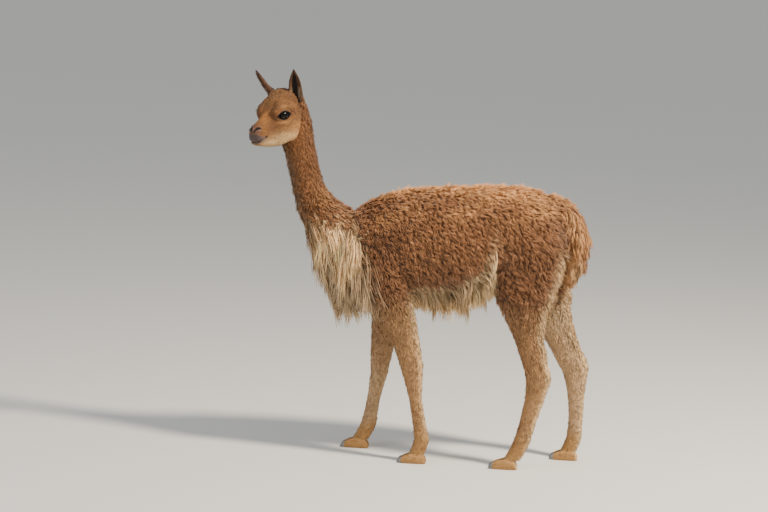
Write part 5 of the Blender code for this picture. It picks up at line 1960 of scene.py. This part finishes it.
@dataclass
class Nails:
    """The eight nails: short wedges of horn at the ends of the toes."""

    body: Body
    length: float = 0.016
    half_width: float = 0.0088
    height: float = 0.017
    floor_gap: float = 0.0012
    # Share of a nail's length that stands out past the toe.
    past_toe: float = 0.45
    round_edge: float = 0.0008
    steps: int = 14
    sections: Stations = ((0.0, 1.0), (0.30, 0.94), (0.60, 0.80), (0.85, 0.52), (1.0, 0.28))

    def nail(self, tip: float, y: float) -> Thing:
        """Makes one nail.

        Args:
            tip: x of the end of the toe.
            y: y of the middle of the toe.

        Returns:
            The nail.
        """
        bm = bmesh.new()
        last: list[bmesh.types.BMEdge] = []
        for i, (t, size) in enumerate(self.sections):
            rim = []
            for k in range(self.steps + 1):
                turn = math.pi * k / self.steps
                x = tip + self.length * (self.past_toe - t)
                rise = self.floor_gap + self.height * size * math.sin(turn)
                rim.append(bm.verts.new((x, y + self.half_width * size * math.cos(turn), rise)))
            edges = [bm.edges.new((rim[k], rim[(k + 1) % len(rim)])) for k in range(len(rim))]
            if i in (0, len(self.sections) - 1):
                bm.faces.new(rim)
            if last:
                bmesh.ops.bridge_loops(bm, edges=last + edges)
            last = edges
        edges = [e for e in bm.edges if len(e.link_faces) == 2 and e.calc_face_angle() > 0.9]
        size = self.round_edge
        bmesh.ops.bevel(bm, geom=edges, offset=size, segments=2, profile=0.5, affect="EDGES", material=-1)
        bmesh.ops.triangulate(bm, faces=[f for f in bm.faces if len(f.verts) > 4])
        return object_from(bm, "nail")

    def build(self) -> dict[str, Thing]:
        """Makes all nails.

        Returns:
            The nails by the names of the solids that they stand for.
        """
        made = {}
        for name, (_, _, heel_x, heel_y) in self.body.legs.items():
            tip = heel_x - self.body.foot_length
            for apart in (-1, 1):
                word = "outer" if apart * heel_y > 0 else "inner"
                splay = self.body.toe_apart + self.body.toe_splay
                nail = self.nail(tip, heel_y + apart * splay)
                nail.name = f"horn_{name}_{word}"
                nail.data.shade_smooth()
                made[f"nail_{name}_{word}"] = nail
        return made


def wire(node: bpy.types.Node, settings: dict[str, object], links: dict[str, object]) -> None:
    """Sets and connects a node.

    Args:
        node: the node.
        settings: its properties and the values of its sockets, by name or number.
        links: the output that feeds each of its sockets, by name or number.
    """
    for key, value in settings.items():
        if hasattr(node, key):
            setattr(node, key, value)
        else:
            node.inputs[int(key) if key.isdigit() else key].default_value = value
    for key, output in links.items():
        node.id_data.links.new(output, node.inputs[int(key) if key.isdigit() else key])


def add_node(
    material: Finish, kind: str, settings: dict[str, object], links: dict[str, object]
) -> bpy.types.Node:
    """Adds a node to a material.

    Args:
        material: where it goes.
        kind: the node's type, without the words that all types start with.
        settings: as wire() takes them.
        links: as wire() takes them.

    Returns:
        The node.
    """
    node = material.node_tree.nodes.new("ShaderNode" + kind)
    wire(node, settings, links)
    return node


def blank_material(name: str) -> tuple[Finish, bpy.types.Node]:
    """Makes a material with nothing but its shader.

    Args:
        name: its name.

    Returns:
        The material and its Principled shader.
    """
    material = bpy.data.materials.new(name)
    material.use_nodes = True
    shader = next(n for n in material.node_tree.nodes if n.type == "BSDF_PRINCIPLED")
    return material, shader


def grained(
    material: Finish, size: float, grain: dict[str, float], span: tuple[float, float]
) -> tuple[bpy.types.NodeSocket, bpy.types.NodeSocket]:
    """Adds fine fur grain to the coat's own colours.

    Args:
        material: where it goes.
        size: how far apart the fibres or their bundles are, in metres.
        grain: the settings of its noise.
        span: the darkest and the lightest grain, as shares of the colour.

    Returns:
        The outputs with the grain and with the colour.
    """
    tone = add_node(material, "Attribute", {"attribute_name": "coat_tone"}, {})
    place = add_node(material, "TexCoord", {}, {})
    settings = {"Scale": 1 / size, **grain}
    noise = add_node(material, "TexNoise", settings, {"Vector": place.outputs["Object"]}).outputs["Fac"]
    ends = {"From Min": 0.3, "From Max": 0.7, "To Min": span[0], "To Max": span[1]}
    shade = add_node(material, "MapRange", ends, {"Value": noise})
    links = {"Vector": tone.outputs["Color"], "Scale": shade.outputs["Result"]}
    return noise, add_node(material, "VectorMath", {"operation": "SCALE"}, links).outputs["Vector"]


@dataclass(frozen=True)
class HairFinish:
    """Keratin fibre, grown and uncut: matt, with a soft sheen where tips catch the light."""

    name: str
    roughness: float = 0.85
    sheen: float = 0.10
    sheen_roughness: float = 0.5
    ior: float = 1.55
    specular: float = 0.2
    # Streaks of single fibres, drawn 1.2 mm apart, coarser than the real 0.015 mm, so that they show.
    fibre: float = 0.0012
    contrast: float = 0.16

    def make(self) -> Finish:
        """Makes the material.

        Returns:
            The finish of wool or hair, coloured by the attribute coat_tone.
        """
        material, shader = blank_material(self.name)
        grain, span = {"Detail": 2.0, "Roughness": 0.6}, (1 - self.contrast, 1 + self.contrast)
        _, colour = grained(material, 4 * self.fibre, grain, span)
        settings = {
            "Roughness": self.roughness,
            "Sheen Weight": self.sheen,
            "Sheen Roughness": self.sheen_roughness,
            "IOR": self.ior,
            "Specular IOR Level": self.specular,
        }
        wire(shader, settings, {"Base Color": colour})
        return material


@dataclass(frozen=True)
class SkinFinish:
    """Living skin, grown: felted short fur, and smooth moist hide where it is bare."""

    name: str = "hide_under_fur"
    # Felt of short hair 1.6 mm across, and the fine creases of bare hide 0.9 mm apart.
    felt: float = 0.0016
    crease: float = 0.0009
    # Darkest and lightest of the felt, as shares of its colour.
    felt_shade: tuple[float, float] = (0.80, 1.16)
    furred_roughness: float = 0.85
    bare_roughness: float = 0.42
    specular: float = 0.25
    relief: float = 0.0012

    def make(self) -> Finish:
        """Makes the material.

        Returns:
            The finish of the skin, coloured by coat_tone and bare where the attribute bare says so.
        """
        material, shader = blank_material(self.name)
        grain = {"Detail": 3.0, "Roughness": 0.65}
        felt, colour = grained(material, 3 * self.felt, grain, self.felt_shade)
        bare = add_node(material, "Attribute", {"attribute_name": "bare"}, {}).outputs["Fac"]
        place = {"Vector": add_node(material, "TexCoord", {}, {}).outputs["Object"]}
        cells = {"Scale": 1 / self.crease / 2, "feature": "DISTANCE_TO_EDGE"}
        crease = add_node(material, "TexVoronoi", cells, place).outputs["Distance"]
        span = {"To Min": self.furred_roughness, "To Max": self.bare_roughness}
        rough = add_node(material, "MapRange", span, {"Value": bare})
        height = add_node(material, "Mix", {"data_type": "FLOAT"}, {"0": bare, "2": felt, "3": crease})
        depth = {"Strength": 0.55, "Distance": self.relief}
        bump = add_node(material, "Bump", depth, {"Height": height.outputs[0]})
        links = {
            "Base Color": colour,
            "Roughness": rough.outputs["Result"],
            "Normal": bump.outputs["Normal"],
        }
        wire(shader, {"Specular IOR Level": self.specular}, links)
        return material


@dataclass(frozen=True)
class EyeFinish:
    """A wet eye, kept smooth by tears: near-black iris under a clear cornea, so only lights show in it."""

    name: str = "wet_eye"
    pupil: str = "030303"
    iris: str = "100A07"
    rim: str = "060505"
    # Where the pupil ends, as a share of the eye's radius, and where the rim starts, in radians.
    pupil_edge: tuple[float, float] = (0.26, 0.34)
    rim_edge: tuple[float, float] = (0.75, 1.0)
    roughness: float = 0.05
    ior: float = 1.376
    specular: float = 0.35

    def make(self) -> Finish:
        """Makes the material.

        Returns:
            The finish of the eyeballs, which reads their attributes pupil and off_axis.
        """
        material, shader = blank_material(self.name)
        pupil = add_node(material, "Attribute", {"attribute_name": "pupil"}, {})
        off = add_node(material, "Attribute", {"attribute_name": "off_axis"}, {})
        span = {"From Min": self.pupil_edge[0], "From Max": self.pupil_edge[1]}
        inner = add_node(material, "MapRange", span, {"Value": pupil.outputs["Fac"]})
        span = {"From Min": self.rim_edge[0], "From Max": self.rim_edge[1]}
        outer = add_node(material, "MapRange", span, {"Value": off.outputs["Fac"]})
        tones = {"data_type": "RGBA", "6": (*linear(self.pupil), 1), "7": (*linear(self.iris), 1)}
        first = add_node(material, "Mix", tones, {"0": inner.outputs["Result"]})
        tones = {"data_type": "RGBA", "7": (*linear(self.rim), 1)}
        second = add_node(material, "Mix", tones, {"0": outer.outputs["Result"], "6": first.outputs[2]})
        settings = {"Roughness": self.roughness, "IOR": self.ior, "Specular IOR Level": self.specular}
        wire(shader, settings, {"Base Color": second.outputs[2]})
        return material


@dataclass(frozen=True)
class HornFinish:
    """Nail horn, grown in fine lines and worn by the ground: grey, rubbed to a dull gloss."""

    name: str = "nail_horn"
    dark: str = "45423F"
    light: str = "85827E"
    # Growth lines 0.7 mm apart, some seven times as long as they are wide.
    line: float = 0.0007
    roughness: float = 0.48
    ior: float = 1.55
    relief: float = 0.0004

    def make(self) -> Finish:
        """Makes the material.

        Returns:
            The finish of the nails.
        """
        material, shader = blank_material(self.name)
        place = add_node(material, "TexCoord", {}, {})
        lines = {"Scale": (1 / self.line / 6, 1 / self.line / 40, 1 / self.line / 40)}
        stretch = add_node(material, "Mapping", lines, {"Vector": place.outputs["Object"]})
        grain = {"Scale": 1.0, "Detail": 3.0}
        noise = add_node(material, "TexNoise", grain, {"Vector": stretch.outputs["Vector"]})
        tones = {"data_type": "RGBA", "6": (*linear(self.dark), 1), "7": (*linear(self.light), 1)}
        colour = add_node(material, "Mix", tones, {"0": noise.outputs["Fac"]})
        depth = {"Strength": 0.3, "Distance": self.relief}
        bump = add_node(material, "Bump", depth, {"Height": noise.outputs["Fac"]})
        links = {"Base Color": colour.outputs[2], "Normal": bump.outputs["Normal"]}
        wire(shader, {"Roughness": self.roughness, "IOR": self.ior}, links)
        return material


@dataclass
class Studio:
    """A plain pale floor, soft lights and the camera at the photo's angle."""

    azimuth: float = 5.0
    distance: float = 7.5
    height: float = 1.6
    aim: float = 0.65
    roll: float = 2.5
    lens: float = 109.86
    # From the solids' coordinates to the middle of the camera's aim.
    aim_x: float = -0.110
    sensor: float = 36.0
    floor: str = "D9D6CF"
    floor_roughness: float = 0.9
    # Half the floor's width: so wide that its edge is lost in the air.
    floor_reach: float = 400.0
    air: str = "E9EDF0"
    air_strength: float = 0.70
    # Each lamp's name, place, width in metres, power in watts and tint.
    lamps: tuple[tuple[str, Vector, float, float, str], ...] = (
        ("key", Vector((3.0, -1.5, 4.2)), 0.8, 540.0, "FFF3E2"),
        ("fill", Vector((-3.5, -3.4, 2.2)), 2.5, 70.0, "F4F8FF"),
    )
    lamp_aim: float = 0.7

    def camera(self) -> None:
        """Sets the camera."""
        turn, roll = math.radians(self.azimuth), math.radians(self.roll)
        target = Vector((0, 0, self.aim))
        at = Vector((math.sin(turn) * self.distance, -math.cos(turn) * self.distance, self.height))
        ahead = (target - at).normalized()
        right = ahead.cross(Vector((0, 0, 1))).normalized()
        up = right.cross(ahead)
        turned = right * math.cos(roll) + up * math.sin(roll)
        raised = up * math.cos(roll) - right * math.sin(roll)
        data = bpy.data.cameras.new("camera")
        data.lens = self.lens
        data.sensor_width = self.sensor
        camera = placed("camera", data)
        basis = Matrix((turned, raised, -ahead)).transposed().to_4x4()
        shift = Vector((self.aim_x, 0, 0)) + CENTRING
        camera.matrix_world = Matrix.Translation(at + shift) @ basis
        bpy.context.scene.camera = camera

    def lamp(self, name: str, place: Vector, size: float, power: float, tint: str) -> None:
        """Adds one soft lamp that looks at the animal.

        Args:
            name: its name.
            place: where it hangs.
            size: the width of its face.
            power: its power in watts.
            tint: its colour.
        """
        data = bpy.data.lights.new(name, "AREA")
        data.shape = "DISK"
        data.size = size
        data.energy = power
        data.color = linear(tint)
        lamp = placed(name, data)
        lamp.location = place
        lamp.rotation_mode = "QUATERNION"
        lamp.rotation_quaternion = (Vector((0, 0, self.lamp_aim)) - place).to_track_quat("-Z", "Y")

    def build(self) -> None:
        """Sets floor, air, lamps and camera."""
        bm = bmesh.new()
        bmesh.ops.create_grid(bm, x_segments=1, y_segments=1, size=self.floor_reach)
        floor = object_from(bm, "floor")
        material, shader = blank_material("studio_floor")
        wire(shader, {"Base Color": (*linear(self.floor), 1), "Roughness": self.floor_roughness}, {})
        floor.data.materials.append(material)
        world = bpy.data.worlds.new("air")
        world.use_nodes = True
        air = {"Color": (*linear(self.air), 1), "Strength": self.air_strength}
        wire(world.node_tree.nodes["Background"], air, {})
        bpy.context.scene.world = world
        for lamp in self.lamps:
            self.lamp(*lamp)
        self.camera()


def dress(thing: Thing, material: Finish, nodes: Sequence[str] = ()) -> None:
    """Finishes a piece: its place, its material, its body and what it stands for.

    Args:
        thing: the piece.
        material: its finish.
        nodes: the solids that it stands for.
    """
    thing.data.transform(Matrix.Translation(CENTRING))
    thing.data.materials.clear()
    thing.data.materials.append(material)
    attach(thing, "root")
    if nodes:
        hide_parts(*nodes)
    log.info("%s: %d faces", thing.name, len(thing.data.polygons))


# The solids that the one skin stands for.
FLESH = ["head", "ear_left", "ear_right", "neck", "chest", "torso", "tail"]
FLESH += [f"{part}_{side}" for part in ("foreleg", "hindleg") for side in ("left", "right")]
FLESH += [f"foot_{end}_{side}" for end in ("fore", "hind") for side in ("left", "right")]


def main() -> None:
    """Builds the animal and the studio."""
    body, head, markings = Body(), Head(), Markings()
    made = Skin(body, head)
    skin = made.build()
    coat = Coat(skin, made, head, markings)
    coat.paint()
    hair = HairFinish("wool_fibre").make()
    fine = HairFinish("short_hair", roughness=0.78, sheen=0.06, fibre=0.0008, contrast=0.08).make()
    eyes = Eyes(head)
    for layer in LAYERS:
        for piece in coat.grow(layer):
            dress(piece, hair if layer.slot in (Slot.FLEECE, Slot.PALE) else fine)
    for piece in eyes.fringe(coat):
        dress(piece, fine)
    wet = EyeFinish().make()
    for side in Side:
        dress(eyes.ball(side), wet, [f"eye_{side.name.lower()}"])
    horn = HornFinish().make()
    for node, nail in Nails(body).build().items():
        dress(nail, horn, [node])
    dress(skin, SkinFinish().make(), FLESH)
    Studio().build()


if __name__ == "__main__":
    main()
